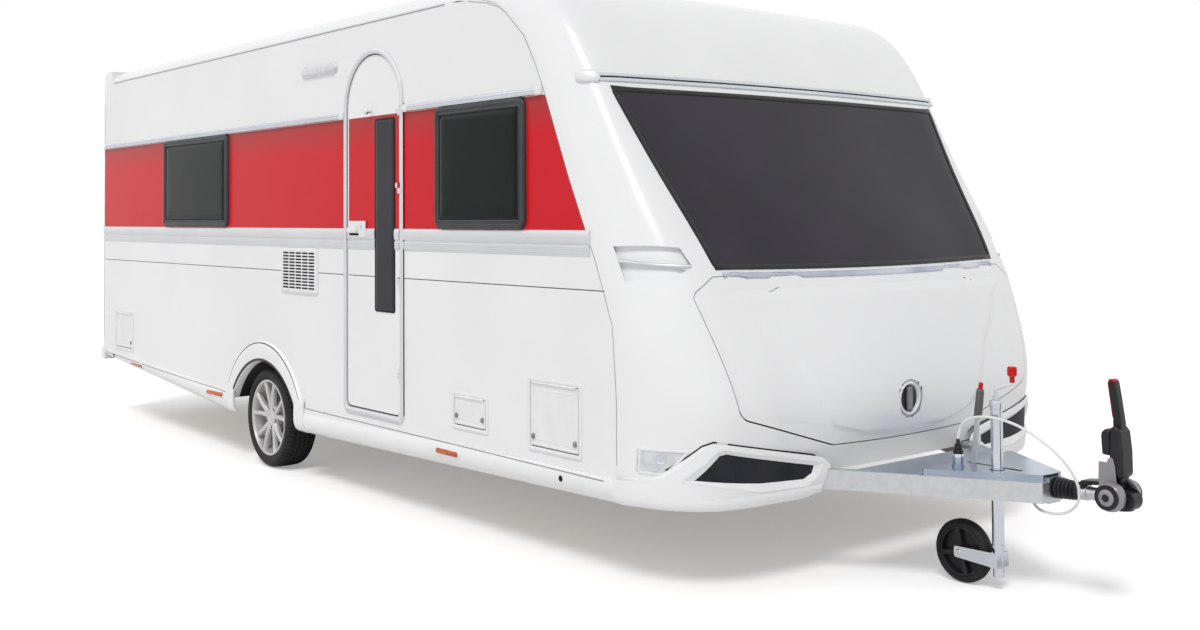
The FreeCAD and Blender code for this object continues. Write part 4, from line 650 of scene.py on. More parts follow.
class CARAVAN_OT_belt(bpy.types.Operator):
    """Belt moulding, light rails and their end caps along both sides"""

    bl_idname = "caravan.belt"
    bl_label = "Belt and light rails"

    def execute(self, context):
        stretch = context.scene.caravan_sizes.belt_depth / BELT_DEPTH
        section = mm(1452, 0, 1450, 4, 1443, 7.5, 1432, 9, 1418, 8.8, 1404, 7.5, 1394, 5, 1390, 1.5, 1387, 1.5,
            1385, 6)
        for rib in range(4):
            z = 1.382 - rib * 0.0085
            section += [(z, 0.0065), (z - 0.0045, 0.0065), (z - 0.0052, 0.0048), (z - 0.0078, 0.0048)]
        section += mm(1347, 3, 1342, 3, 1341, 0)
        section = [(z, out * stretch) for z, out in section]
        for name, side, x0, x1 in self.runs(SIDE_REAR_X, 0.037, at_height(EDGE_LINE, 1.39)):
            self.strip(f"belt_{name}", section, x0, x1, side, "root", "belt")
        for index, (x0, x1) in enumerate(((DOOR_X[0] + 0.004, 0.418), (0.624, DOOR_X[1] - 0.004))):
            self.strip(f"belt_door_{index + 1}", section, x0, x1, -1, "entrance_door", "belt")
        rail = [(RAIL_Z + up, out) for up, out in mm(17, 0, 16, 10, 12, 14, 4, 15, 2, 12, -6, 12, -8, 15, -15, 14,
            -17, 8, -17, 0)]
        for name, side, x0, x1 in self.runs(SIDE_REAR_X + 0.03, 0.06, at_height(EDGE_LINE, RAIL_Z) - 0.03):
            self.strip(f"light_rail_{name}", rail, x0, x1, side, "root", "rail")
            for end, x in enumerate((x0, x1)):
                near, far = sorted((side * WALL_Y, side * (WALL_Y + 0.017)))
                cap = block(f"rail_cap_{name}_{end + 1}", (x - 0.022, near, RAIL_Z - 0.019),
                    (x + 0.022, far, RAIL_Z + 0.019), 0.005)
                dress(cap, "plastic")
        return {"FINISHED"}

    def runs(self, rear, gap, front):
        """The lengths of a strip: two on the right with a gap at the door, and one on the left."""
        return (("right_1", -1, rear, DOOR_X[0] - gap), ("right_2", -1, DOOR_X[1] + gap, front),
            ("left_1", 1, rear, front))

    def strip(self, name, section, x0, x1, side, body, material):
        loops = [[Vector((x, side * (WALL_Y + out), z)) for z, out in section] for x in (x0, x1)]
        dress(loft(name, loops, angle=30), material, body=body)


def at_height(line, z):
    """The width that a line of (height, width) points, from the top down, gives at a height."""
    for (z0, w0), (z1, w1) in zip(line, line[1:]):
        if z >= z1:
            return w0 + (w1 - w0) * (z0 - z) / (z0 - z1)
    return line[-1][1]


# The side panel's front edge
EDGE_LINE = mm(2545, 1170, 2528, 1400, 2468, 1590, 2325, 1758, 2184, 1848, 2030, 1925, 1675, 2085, 1325, 2262,
    1060, 2372, 760, 2395, 440, 2395)
FRAME_SECTION = mm(0, 0, 0, 13, 4, 19, 10, 21, 18, 21.5, 21, 19, 23, 17, 31, 17, 33, 19.5, 37, 20.5, 41, 18, 44, 11,
    44, 0)


class CARAVAN_OT_windows(bpy.types.Operator):
    """Stepped grey frames, rubber beads and domed panes of the side and rear windows"""

    bl_idname = "caravan.windows"
    bl_label = "Side and rear windows"

    def execute(self, context):
        frames, beads, panes = [], [], []
        for side, windows in ((-1, WINDOWS_RIGHT), (1, WINDOWS_LEFT)):
            for index, size in enumerate(windows):
                placer = on_right if side < 0 else on_left
                word = "right" if side < 0 else "left"
                self.window(f"{word}_{index + 1}", size, placer, side, frames, beads, panes)
        self.window("rear", REAR_WINDOW, on_rear, -1, frames, beads, panes)
        dress(join("window_surrounds", frames), "frame", ("window_frames",))
        dress(join("window_beads", beads), "seam")
        dress(join("window_panes_side", panes), "glass")
        return {"FINISHED"}

    def window(self, name, size, placer, turn, frames, beads, panes):
        path, out = placer(rounded(*size, 0.045, 8))
        if turn > 0:
            path.reverse()
        frames.append(moulding("surround_" + name, path, out, FRAME_SECTION, angle=30))
        edge = 0.046   # the frame's width outside the glass
        path, out = placer(rounded(*within(size, edge), 0.028, 8))
        if turn > 0:
            path.reverse()
        bead = mm(4, 6, -2, 12, -2, 16, 2, 17.5, 6, 16, 7, 6)
        beads.append(moulding("bead_" + name, path, out, bead))
        rows = mm(0, 8, 0, 16.5, 4, 18.5, 30, 19.5, 100, 20.5)
        panes.append(domed("pane_" + name, placer, within(size, edge + 0.004), 0.026, rows, 8, 0.2, 0.006, 30))


class CARAVAN_OT_door(bpy.types.Operator):
    """Arched door surround, door seal, narrow window, handle, hinges and catch"""

    bl_idname = "caravan.door"
    bl_label = "Entrance door"

    def execute(self, context):
        self.surround()
        self.leaf()
        self.fittings()
        return {"FINISHED"}

    def arch(self, grow):
        """The door's outline grown by a margin, from its foot round the arch, as plane points."""
        x0, x1 = DOOR_X[0] - grow, DOOR_X[1] + grow
        low, high = DOOR_Z[0] - grow, DOOR_Z[1] + grow
        radius, foot = (x1 - x0) / 2, 0.04
        heights = (low + 0.25, (low + high) / 2, high - radius - 0.25)
        right = arc(x1 - foot, low + foot, foot, -90, 90, 6) + [(x1, z) for z in heights]
        top = arc((x0 + x1) / 2, high - radius, radius, 0, 180, 24)
        left = [(x0, z) for z in reversed(heights)] + arc(x0 + foot, low + foot, foot, 180, 90, 6)
        return right + top + left

    def surround(self):
        path, out = on_wall(self.arch(DOOR_GAP + 0.031), -1)
        section = mm(0, 0, 0, 6, 3, 9.5, 9, 12, 16, 13, 23, 11.5, 28, 8, 30.5, 3, 30.5, -34)
        piece = moulding("door_surround", path, out, section, angle=50)
        dress(piece, "belt")
        seal, out = on_wall(self.arch(DOOR_GAP - 0.0005), -1)
        section = mm(0, -4, 0, -30, 4, -30, 4, -4)
        dress(moulding("door_seal", seal, out, section), "seam")

    def leaf(self):
        path, out = on_wall(self.arch(-0.001), -1)
        section = mm(0, -3, 0.5, 1.5, 3, 2.5, 7, 2, 9, 0, 9, -3)
        dress(moulding("door_edge", path, out, section), "plastic", body="entrance_door")
        box = (0.42, 0.622, 1.02, 2.026)
        section = mm(-2, 0, -2, 3, 1, 5, 6, 5, 8, 2, 8, 0)
        dress(framed("door_window_bead", on_right, box, 0.014, section, 5), "seam",
            body="entrance_door")
        rows = mm(5, 0, 5, 3, 8, 4.5, 30, 5)
        dress(domed("door_window_glass", on_right, box, 0.012, rows, 5, 0, angle=30), "front_glass",
            body="entrance_door")

    def fittings(self):
        back = block("handle_plate", (0.141, -WALL_Y - 0.013, 1.405), (0.325, -WALL_Y - 0.002, 1.492), 0.01, 4)
        grip = block("handle_grip", (0.15, -WALL_Y - 0.03, 1.428), (0.25, -WALL_Y - 0.012, 1.456), 0.009, 4)
        lock = rod("handle_lock", (0.288, -WALL_Y - 0.012, 1.468), (0.288, -WALL_Y - 0.019, 1.468), 0.011, 24, 0.002)
        # A near-black sheet under the grip paints the shade in the handle's recess
        recess_shade = block("handle_recess", (0.16, -WALL_Y - 0.0145, 1.414), (0.262, -WALL_Y - 0.012, 1.426), 0.001)
        dress(recess_shade, "seam", body="entrance_door")
        dress(join("door_handle_set", [back, grip]), "plastic", ("door_handle",),
            body="entrance_door")
        dress(lock, "chrome", body="entrance_door")
        covers = []
        for z in (0.72, 1.19, 1.66, 2.06):
            low = (DOOR_X[1] - 0.034, -WALL_Y - 0.0125, z + 0.0005)
            high = (DOOR_X[1] - 0.0095, -WALL_Y - 0.001, z + 0.0265)
            covers.append(block("hinge_cover", low, high, 0.004))
        dress(join("door_hinge_covers", covers), "plastic", body="entrance_door")
        stem = rod("catch_stem", (0.383, -WALL_Y, 2.068), (0.383, -WALL_Y - 0.03, 2.068), 0.007, 24)
        head = turned("catch_head", mm(0, -46, 10, -44, 16, -38, 16, -30, 10, -26, 0, -26), (0.383, -WALL_Y, 2.068),
            "y", 28)
        dress(join("door_catch", [stem, head]), "chrome", body="entrance_door")
        rows = mm(0, 0, 0, 6, 8, 16, 18, 19)
        dress(domed("awning_lamp", on_right, (-0.42, 0.0, 2.31, 2.37), 0.03, rows), "lens")


class CARAVAN_OT_hatches(bpy.types.Operator):
    """Service hatch surrounds, lids, locks and the fridge vent's grille"""

    bl_idname = "caravan.hatches"
    bl_label = "Hatches and vent"

    def execute(self, context):
        for name, box in HATCHES.items():
            x0, x1, z0, _ = box
            section = mm(0, 0, 1.5, 5, 4, 6.5, 14, 6.5, 17, 5.5, 19.5, 3, 19.5, 0)
            dress(framed(f"hatch_surround_{name}", on_right, box, 0.018, section), "plastic")
            rim = mm(0, 1, 0.5, 3.5, 3, 5, 9, 5, 12, 2.5, 12, 1)
            press = mm(0, 1, 2, 3.2, 6, 3.2, 8, 1)
            face = [framed(f"hatch_edge_{name}", on_right, within(box, 0.025), 0.008, rim),
                framed(f"hatch_press_{name}", on_right, within(box, 0.05), 0.02, press)]
            dress(join(f"hatch_face_{name}", face), "plastic", body=f"hatch_lid_{name}")
            locks = []
            for x in ((x0 + 0.045, x1 - 0.045) if name != "rear" else (x1 - 0.045,)):
                z = z0 + 0.065
                locks.append(turned("lock", mm(0, -10.5, 9, -10.5, 11.5, -9, 12.5, -2, 0, -2), (x, -WALL_Y, z), "y",
                    24))
            dress(join(f"hatch_locks_{name}", locks), "grey", body=f"hatch_lid_{name}")
        self.vent()
        return {"FINISHED"}

    def vent(self):
        x0, x1, z0, z1 = VENT
        section = mm(0, 0, 1.5, 8, 5, 11.5, 12, 13, 20, 11.5, 22, 0)
        rim = framed("vent_rim", on_right, VENT, 0.012, section)
        slats = []
        columns, rows = 5, 12
        pitch_x, pitch_z = (x1 - x0 - 0.05) / columns, (z1 - z0 - 0.04) / rows
        for row in range(rows + 1):
            z = z0 + 0.02 + row * pitch_z
            slats.append(block("slat", (x0 + 0.018, -WALL_Y - 0.0115, z - 0.0045), (x1 - 0.018, -WALL_Y, z + 0.0045),
                0.002, 2))
        for column in range(columns + 1):
            x = x0 + 0.025 + column * pitch_x
            slats.append(block("bar", (x - 0.005, -WALL_Y - 0.0125, z0 + 0.015), (x + 0.005, -WALL_Y, z1 - 0.015),
                0.002, 2))
        dress(join("vent_grille", [rim] + slats), "plastic")
        # A near-black sheet just inside the slats paints the shade in the vent's openings
        back = block("vent_dark", (x0 + 0.02, -WALL_Y - 0.0105, z0 + 0.015),
            (x1 - 0.02, -WALL_Y - 0.0098, z1 - 0.015))
        dress(back, "seam")


def on_side(points, side, names):
    """Points (x, z) thrown on to some nodes from one side, with the way out at each."""
    places, outs = [], []
    for x, z in points:
        place, normal = hit(names, (x, side * 2.5, z), (0, -side, 0))
        places.append(place)
        outs.append((normal if normal.y * side > 0 else -normal).normalized())
    return places, outs


def plate(name, corners, axis, low, high, edge=0.0, segments=3, at=(0, 0)):
    """A flat shape cut out between two depths, its corners given from one place, with its edges rounded."""
    put = {"x": lambda a, b, depth: (depth, a, b), "y": lambda a, b, depth: (a, depth, b)}[axis]
    piece = loft(name, [[Vector(put(at[0] + a, at[1] + b, depth)) for a, b in corners] for depth in (low, high)],
        angle=30)
    return eased(piece, edge, segments) if edge else piece


def line_on(name, path, outs, width, proud):
    """A flat bead of one width along a path that lies on the body."""
    half = width / 2
    section = [(-half, -0.001), (-half, proud * 0.7), (-half * 0.8, proud), (half * 0.8, proud), (half, proud * 0.7),
        (half, -0.001)]
    return moulding(name, path, outs, section, closed=False)


class CARAVAN_OT_skirts(bpy.types.Operator):
    """Wheel arch mouldings, skirt grooves, amber markers and steady covers"""

    bl_idname = "caravan.skirts"
    bl_label = "Skirts and wheel arches"

    def execute(self, context):
        ambers, plinths, holes = [], [], []
        for side, word in SIDES:
            dress(self.arch(f"arch_moulding_{word}", side), "body")
            for x0, x1, z in ((-3.17, -2.93, 0.447), (-1.75, -1.50, 0.386), (1.05, 1.24, 0.382)):
                ambers.append(self.marker("marker", x0, x1, z, side, 0.012, 0.009))
                plinths.append(self.marker("plinth", x0 - 0.014, x1 + 0.014, z, side, 0.019, 0.005))
            for x, z in ((2.04, 0.392), (-3.55, 0.478)):
                place, outs = on_side([(x, z)], side, ("skirts",))
                loops = [plain_loop(place[0] + outs[0] * lift, outs[0], radius, 24)
                    for radius, lift in mm(13, -1, 13, 2, 10, 2.5)]
                holes.append(loft("hole", loops))
            self.feet(f"arch_feet_{word}", side)
            for index, (x0, x1, z0, z1) in enumerate(((-0.37, 2.33, 0.424, 0.424), (-3.70, -1.46, 0.494, 0.408))):
                points = [(x0 + (x1 - x0) * step / 60, z0 + (z1 - z0) * step / 60) for step in range(61)]
                path, outs = on_side(points, side, ("skirts",))
                groove = line_on(f"skirt_groove_{word}_{index + 1}", path, outs, 0.005, 0.001)
                dress(groove, "sealant")
        dress(join("side_markers", ambers), "amber")
        dress(join("marker_plinths", plinths), "plastic")
        dress(join("steady_holes", holes), "seam")
        return {"FINISHED"}

    def marker(self, name, x0, x1, z, side, half, proud):
        rows = ((0.0, -0.003), (0.0, proud * 0.6), (half * 0.2, proud * 0.9), (half * 0.55, proud))
        return domed(name, lambda ring: on_side(ring, side, ("skirts",)), (x0, x1, z - half, z + half), half * 0.95,
            rows, 5)

    def feet(self, name, side):
        """The lip's two feet, which follow the skirt's bulge down to its bottom edge."""
        feet = []
        for x0, x1, bottom in ((-1.446, -1.338, 0.290), (-0.492, -0.386, 0.282)):
            outer = [(0.0235, 0.47), (0.0245, 0.42), (0.0255, bottom + 0.075), (0.022, bottom + 0.045),
                (0.012, bottom + 0.02), (-0.004, bottom + 0.004), (-0.02, bottom - 0.002)]
            inner = [(out - 0.016, max(z, bottom + 0.006) + 0.003) for out, z in reversed(outer)]
            loops = [[Vector((x, side * (WALL_Y + out), z)) for out, z in outer + inner] for x in (x0, x1)]
            feet.append(eased(loft("foot", loops, angle=50), 0.005, 3))
        dress(join(name, feet), "body")

    def arch(self, name, side):
        """The moulded lip round a wheel opening, from foot to foot."""
        middle_x, outer_radius, inner_radius = -0.923, 0.569, 0.511
        across = ((0.0, 0.0005), (0.02, 0.010), (0.06, 0.018), (0.14, 0.0225), (0.3, 0.0242), (0.75, 0.0238),
            (0.88, 0.0215), (0.96, 0.016), (1.0, 0.006), (1.0, -0.034), (0.8, -0.034))
        loops = []
        steps = 48
        outer = arc(middle_x, 0.202, outer_radius, 19.2, 141.6, steps)
        inner = arc(middle_x, 0.135, inner_radius, 29.5, 121, steps)
        for (x0, z0), (x1, z1) in zip(outer, inner):
            first, last = Vector((x0, 0, z0)), Vector((x1, 0, z1))
            loops.append([first.lerp(last, along) + Vector((0, side * (WALL_Y + lift), 0)) for along, lift in across])
        return loft(name, loops, angle=50)


class CARAVAN_OT_seams(bpy.types.Operator):
    """Panel joints of the side, roof and front"""

    bl_idname = "caravan.seams"
    bl_label = "Panel seams"

    def execute(self, context):
        dark, soft = [], []
        for side in (-1, 1):
            heights = [2.535 - 0.03 * step for step in range(69)]
            path, out = on_wall([(at_height(EDGE_LINE, z) - 0.001, z) for z in heights], side)
            dark.append(line_on("front_seam", path, out, 0.0035, 0.0008))
            path, out = on_wall([(x / 10, 2.5455) for x in range(-36, 12)], side)
            soft.append(line_on("roof_seam", path, out, 0.005, 0.0022))
            path, out = on_wall([(SIDE_REAR_X + 0.002, z / 10) for z in range(6, 25)], side)
            soft.append(line_on("rear_seam", path, out, 0.004, 0.001))
        dress(join("front_seams", dark), "sealant")
        dress(join("roof_seams", soft), "sealant")
        return {"FINISHED"}


class CARAVAN_OT_front(bpy.types.Operator):
    """Front window border, bright strips, marker lamps, latch ring, lamp bezels and grilles"""

    bl_idname = "caravan.front"
    bl_label = "Front"

    def execute(self, context):
        self.window()
        self.strips()
        self.lid()
        self.latch()
        self.lamps()
        grilles = [self.bumper(side, word) for side, word in SIDES]
        dress(join("bumper_mesh", grilles), "mesh", ("bumper_grilles",))
        return {"FINISHED"}

    def lid(self):
        """The locker lid's skin: a raised middle field with soft creased edges."""
        crease = mm(1240, 930, 1171, 900, 1126, 834, 1005, 739, 902, 635, 801, 574, 685, 507, 574, 424, 500, 370)
        half = mm(1240, 985, 1190, 1068, 706, 955, 500, 270)
        columns, rows = 96, 84
        points, lifts = [], []
        for row in range(rows + 1):
            share = row / rows
            for column in range(columns + 1):
                across = 2 * column / columns - 1
                low = 0.556 + 0.013 * min(abs(across) / 0.47, 1)
                low = max(low, 0.562 + (abs(across) - 0.47) * 0.31)
                z = low + (LID_TOP - low) * share
                y = across * min(at_height(half, z), 0.98 if z > 1.2 else 9)
                field = at_height(crease, z)
                rise = min(max((field + 0.016 - abs(y)) / 0.032, 0.0), 1.0)
                ends = min(max((LID_TOP - z) / 0.05, 0.0), 1.0) * min(max((z - low) / 0.03, 0.0), 1.0)
                points.append((y, z))
                lifts.append(0.0008 + 0.0085 * rise * rise * (3 - 2 * rise) * ends * ends * (3 - 2 * ends))
        places, outs = on_front(points, ("gas_locker_lid", "front_panel"))
        clear = [hypot(y, z - LATCH_Z) > 0.0745 for y, z in points]
        faces = []
        for row in range(rows):
            for column in range(columns):
                first = row * (columns + 1) + column
                corners = (first, first + 1, first + columns + 2, first + columns + 1)
                if all(clear[corner] for corner in corners):
                    faces.append(corners)
        mesh = bpy.data.meshes.new("lid_skin")
        mesh.from_pydata([place + out * lift for place, out, lift in zip(places, outs, lifts)], [], faces)
        skin = bpy.data.objects.new("lid_skin", mesh)
        bpy.context.collection.objects.link(skin)
        smooth(skin, 60)
        dress(skin, "body", body="gas_locker_lid")

    def bumper(self, side, word):
        """A bumper's sunk grille with its bevelled surround, a near-black line of painted shade along its upper edge,
        and its rounded underside.
        """
        vent = mm(1163, 462, 1063, 579, 1030, 585, 543, 489, 556, 440, 612, 399, 869, 409)
        inner = mm(1132, 465.5, 1055, 562, 1030, 568, 580, 478, 588, 446, 628, 424, 869, 435)
        names = ("front_bumpers", "bumper_grilles", "front_panel")
        places, outs = on_front(traced(vent, 8, side), names)
        lip = [place + out * 0.0006 for place, out in zip(places, outs)]
        middle = sum(places, Vector()) / len(places)
        over = [place + out * 0.0006 + (place - middle).normalized() * 0.004 for place, out in zip(places, outs)]
        fill = []
        for share in (1.0, 0.8, 0.6, 0.4, 0.2, 0.02):
            ring = [(0.85 * side + (y - 0.85 * side) * share, 0.487 + (z - 0.487) * share)
                for y, z in traced(inner, 8, side)]
            fill.append([place - way * 0.014 for place, way in zip(*on_front(ring, names))])
        dress(loft(f"bumper_surround_{word}", [over, lip, fill[0]], caps=False), "body")
        # The near-black line along the bumper's upper outline paints the shade at its proud edge
        outline = mm(1185, 497, 1103, 599, 1069, 615, 549, 513, 515, 492)
        places, outs = on_front([(y, z + 0.003) for y, z in traced(outline, 8, side, False)],
            ("front_panel", "lamps", "front_bumpers"))
        seam = line_on(f"bumper_seam_{word}", places, outs, 0.006, 0.0015)
        dress(seam, "seam")
        self.underside(side, word)
        return loft("mesh", fill)

    def underside(self, side, word):
        """The rounded lower edge that carries the skirt's line round the corner and along the bumper."""
        stations = [(Vector((x, side * (WALL_Y + out), 0)), Vector((0, side, 0)))
            for x, out in mm(2386, 16.5, 2410, 18.5, 2430, 20.5)]
        for y in (1.24, 1.225, 1.2, 1.16, 1.11, 1.05, 0.97, 0.88, 0.79, 0.7, 0.62, 0.56, 0.53):
            place, out = on_front([(side * y, 0.39)], ("front_bumpers",))
            flat = Vector((out[0].x, out[0].y, 0)).normalized()
            stations.append((Vector((place[0].x, place[0].y, 0)), flat))
        loops = []
        last = len(stations) - 1
        for index, (place, out) in enumerate(stations):
            low = 0.337 + (0.02 if index == last else 0.006 if index == last - 1 else 0.0)
            high = 0.446 if index < 6 else max(0.394, 0.446 - 0.018 * (index - 5))
            section = [(0.0012, high), (0.002, high - 0.006), (0.0005, 0.378), (-0.004, 0.362), (-0.012, low + 0.011),
                (-0.024, low + 0.002), (-0.036, low), (-0.05, low + 0.004), (-0.05, 0.39)]
            loops.append([place + out * off + Vector((0, 0, z)) for off, z in section])
        dress(loft(f"bumper_underside_{word}", loops, angle=50), "body")

    def window(self):
        """Black border round the front window."""
        (ty, tz), (by, bz) = (1.108, 2.066), (0.953, 1.290)
        border = []
        for (y0, z0), (y1, z1), bow in (((-ty, tz), (-by, bz), 0.0), ((-by, bz), (by, bz), -0.012),
                ((by, bz), (ty, tz), 0.0), ((ty, tz), (-ty, tz), 0.005)):
            for step in range(24):
                share = step / 24
                z = z0 + (z1 - z0) * share + bow * 4 * share * (1 - share)
                border.append((y0 + (y1 - y0) * share, z))
        places, outs = on_front([(y * 0.988, 1.68 + (z - 1.68) * 0.975) for y, z in border])
        section = mm(-12, -2, -12, 3, -8, 4.5, 8, 4.5, 11, 3, 11, -2)
        dress(moulding("front_window_border", places, outs, section), "black")

    def strips(self):
        """Bright double strip over the window, its white end lamps, and the strip under the window."""
        path, outs = on_front([(y / 50, 2.105 + 0.008 * (1 - (y / 57) ** 2)) for y in range(-57, 58, 2)],
            ("front_panel",))
        upper = mm(6, -2, 6, 10, 10, 13, 19, 13, 22, 9, 22, -2)
        lower = mm(-18, -2, -18, 7, -14, 10, -4, 10, 0, 7, 0, -2)
        gap = mm(-1, -2, -1, 4, 7, 4, 7, -2)
        rails = [moulding("front_rail", path, outs, section, closed=False) for section in (upper, lower)]
        dress(join("front_rails", rails), "rail")
        dress(moulding("front_rail_gap", path, outs, gap, closed=False), "seam")
        rows = mm(0, -3, 0, 14, 5, 19, 12, 21)
        caps = [domed("cap", lambda ring: on_front(ring, ("front_panel",)), (y - 0.034, y + 0.034, 2.086, 2.138),
            0.018, rows, 5) for y in (-1.172, 1.172)]
        dress(join("front_marker_lamps", caps), "plastic")
        path, outs = on_front([(y / 50, 1.266 - 0.012 * (1 - (y / 46) ** 2)) for y in range(-46, 47, 2)],
            ("front_panel", "gas_locker_lid"))
        section = mm(-14, -2, -14, 3, -11, 5, 0, 6.8, 10, 5, 12.5, 3, 12.5, -2)
        dress(moulding("front_window_strip", path, outs, section, closed=False), "strip")

    def latch(self):
        ring = turned("latch_ring", mm(59.5, 2, 59.5, 10, 62, 16, 67, 18, 72, 14.5, 74, 6, 72, 2, 59.5, 2),
            (LATCH_X, 0, LATCH_Z), "x", 64)
        dress(ring, "body", body="gas_locker_lid")
        outline = mm(-13, 657, 13, 657, 16, 707, 13, 757, -13, 757, -16, 707)
        handle = plate("latch_handle", outline, "x", LATCH_X + 0.005, LATCH_X + 0.0205, 0.004)
        dress(handle, "grey", body="gas_locker_lid")

    def lamps(self):
        """White bezels and bright bowls of the front lamps."""
        bezels, bowls = [], []
        for side in (-1, 1):
            corners = mm(1233, 579, 1183, 579, 1137, 579, 1160, 530, 1186, 482, 1210, 482, 1233, 484, 1233, 530)
            ring = traced(corners, 4, side)
            if side > 0:
                ring.reverse()
            places, outs = on_front(ring, ("lamps", "front_panel"))
            section = mm(-6, -2, -6, 2.5, -3, 4, 2, 4, 4, 2, 4, -2)
            bezels.append(moulding("bezel", places, outs, section))
            for y, z, radius in ((1.198, 0.545, 0.024), (1.205, 0.505, 0.014)):
                place, out = on_front([(side * y, z)], ("lamps", "front_panel"))
                loops = [plain_loop(place[0] + out[0] * lift, out[0], size, 32)
                    for size, lift in ((radius, -0.001), (radius, 0.0015), (radius * 0.88, 0.0022),
                        (radius * 0.8, 0.0008), (radius * 0.3, 0.0004))]
                bowls.append(loft("bowl", loops))
        dress(join("lamp_bezels", bezels), "plastic")
        dress(join("lamp_bowls", bowls), "chrome")


# ---------------------------------------------------------------- road wheels

class CARAVAN_OT_wheels(bpy.types.Operator):
    """Treaded tyres and five-spoke alloy wheels with their brake drums"""

    bl_idname = "caravan.wheels"
    bl_label = "Road wheels"

    def execute(self, context):
        blocks = context.scene.caravan_sizes.tread_blocks
        for side, word in SIDES:
            body = f"wheel_{word}"
            dress(self.tyre(f"road_tyre_{word}", side, blocks), "rubber", (f"tyre_{word}",), body=body)
            dress(self.alloy(f"road_wheel_{word}", side), "alloy", (f"rim_{word}",), body=body)
            dress(self.drum(f"brake_drum_{word}", side), "cast", body=body)
            self.nuts(word, side)
        return {"FINISHED"}

    def at(self, side, radius, turn, depth):
        """A place on a wheel: radius and turn round the axle, depth in from the tyre's outer face."""
        return Vector((AXLE_X + radius * cos(turn), side * (TYRE_FACE - depth), AXLE_Z + radius * sin(turn)))

    def lathe(self, name, side, profile, sides, spot=(AXLE_X, 0, AXLE_Z), angle=40.0):
        """A turned piece of a wheel, from (radius, depth in from the tyre's outer face) points."""
        return turned(name, [(r, side * (TYRE_FACE - d)) for r, d in profile], spot, "y", sides, angle)

    def tyre(self, name, side, blocks):
        sides = blocks * 4
        wall = mm(222, 18, 228.5, 13.5, 232, 11.5, 234.5, 7.5, 243, 3.5, 252, 1, 262, 0, 270, 0.8, 271.5, 2.2,
            274.5, 2.4, 276, 1.8, 283, 6.5)
        shoulder = [(0.2885, 0.0115, 0.0035), (0.2932, 0.018, 0.0055), (0.2965, 0.026, 0.006), (0.2982, 0.036, 0.006),
            (0.2987, 0.0465, 0.005), (0.2925, 0.048, 0), (0.2925, 0.0545, 0), (0.2990, 0.056, 0.0035),
            (0.2998, 0.068, 0.0035), (0.3, 0.0765, 0.0035), (0.2925, 0.078, 0), (0.2925, 0.085, 0),
            (0.3, 0.0865, 0.003), (0.3, 0.0975, 0.003)]
        rows = [(radius, depth, 0, 0) for radius, depth in wall]
        rows += [(radius, depth, cut, 0 if depth < 0.05 else (2 if depth < 0.08 else 3)) for radius, depth, cut in
            shoulder]
        rows += [(radius, 0.195 - depth, cut, shift + 1) for radius, depth, cut, shift in reversed(rows[:-1])]
        rows += [(0.2202, 0.170, 0, 0), (0.2202, 0.025, 0, 0)]
        loops = []
        for radius, depth, cut, shift in rows:
            ring = []
            for index in range(sides):
                turn = tau * index / sides
                low = cut if (index + shift) % 4 == 0 else 0.0
                ring.append(self.at(side, radius - low, turn, depth))
            loops.append(ring)
        return loft(name, loops, closed=True, angle=35)

    def alloy(self, name, side):
        """Barrel, dished hub and five pairs of forked spokes."""
        profile = mm(219.5, 20.5, 227.2, 18.5, 228.8, 12, 227.2, 6.8, 222.5, 5.2, 216.5, 7.5, 213.5, 14, 210.5, 26,
            207.5, 50, 199, 75, 199, 140, 209, 165, 213, 186, 219.5, 186, 219.5, 20.5)
        barrel = self.lathe("barrel", side, profile, 96)
        hub_profile = mm(0, 26, 26, 26.2, 28.5, 28.5, 31, 26.2, 36, 25.5, 60, 27.5, 70, 32, 74.5, 42, 75.5, 86, 0, 86)
        hub = self.lathe("hub", side, hub_profile, 80)
        arms = [self.arm(side, radians(90 + 72 * spoke), lean) for spoke in range(5) for lean in (-1, 1)]
        return join(name, [barrel, hub] + arms)

    def arm(self, side, middle, lean):
        """One arm of a forked spoke, from the hub out to the rim."""
        stations = ((0.050, 0.026, 0.012, 0.018, 0.03), (0.080, 0.021, 0.0155, 0.0165, 0.03),
            (0.115, 0.0175, 0.025, 0.0145, 0.028), (0.150, 0.0145, 0.038, 0.0138, 0.026),
            (0.185, 0.012, 0.053, 0.0142, 0.025), (0.2115, 0.011, 0.0645, 0.018, 0.025))
        shape = ((-1.0, 1.0), (-1.0, 0.35), (-0.78, 0.06), (-0.45, 0.0), (0.45, 0.0), (0.78, 0.06), (1.0, 0.35),
            (1.0, 1.0))
        out, inward = Vector((cos(middle), 0, sin(middle))), Vector((0, -side, 0))
        across = Vector((-out.z, 0, out.x)) * lean
        loops = []
        for radius, depth, offset, half, thick in stations:
            centre = Vector((AXLE_X, side * (TYRE_FACE - depth), AXLE_Z)) + out * radius + across * offset
            loops.append([centre + across * (half * a) + inward * (thick * b) for a, b in shape])
        return loft("arm", loops, angle=50)

    def drum(self, name, side):
        profile = mm(0, 85, 100, 85, 108, 88, 115, 96, 115, 144, 112, 147, 30, 147, 0, 147)
        return self.lathe(name, side, profile, 64)

    def nuts(self, word, side):
        """Near-black discs of painted shade in the bolt pockets between the spokes, and a bolt in each."""
        pocket_shades, bolts = [], []
        for spoke in range(5):
            turn = radians(90 + 36 + 72 * spoke)
            spot = (AXLE_X + 0.054 * cos(turn), 0, AXLE_Z + 0.054 * sin(turn))
            # Each pocket is a near-black disc that paints the shade in the bolt hole
            pocket = mm(0, 26.8, 10.5, 26.6, 11.2, 26.2, 11.8, 30, 0, 30)
            pocket_shades.append(self.lathe("pocket", side, pocket, 28, spot))
            bolt = mm(0, 23.8, 6.2, 24, 7.2, 25.2, 7.2, 29, 0, 29)
            bolts.append(self.lathe("bolt", side, bolt, 6, spot, 20))
        dress(join(f"bolt_pockets_{word}", pocket_shades), "seam", body=f"wheel_{word}")
        dress(join(f"wheel_bolts_{word}", bolts), "chrome", body=f"wheel_{word}")


# ---------------------------------------------------------------- drawbar and coupling

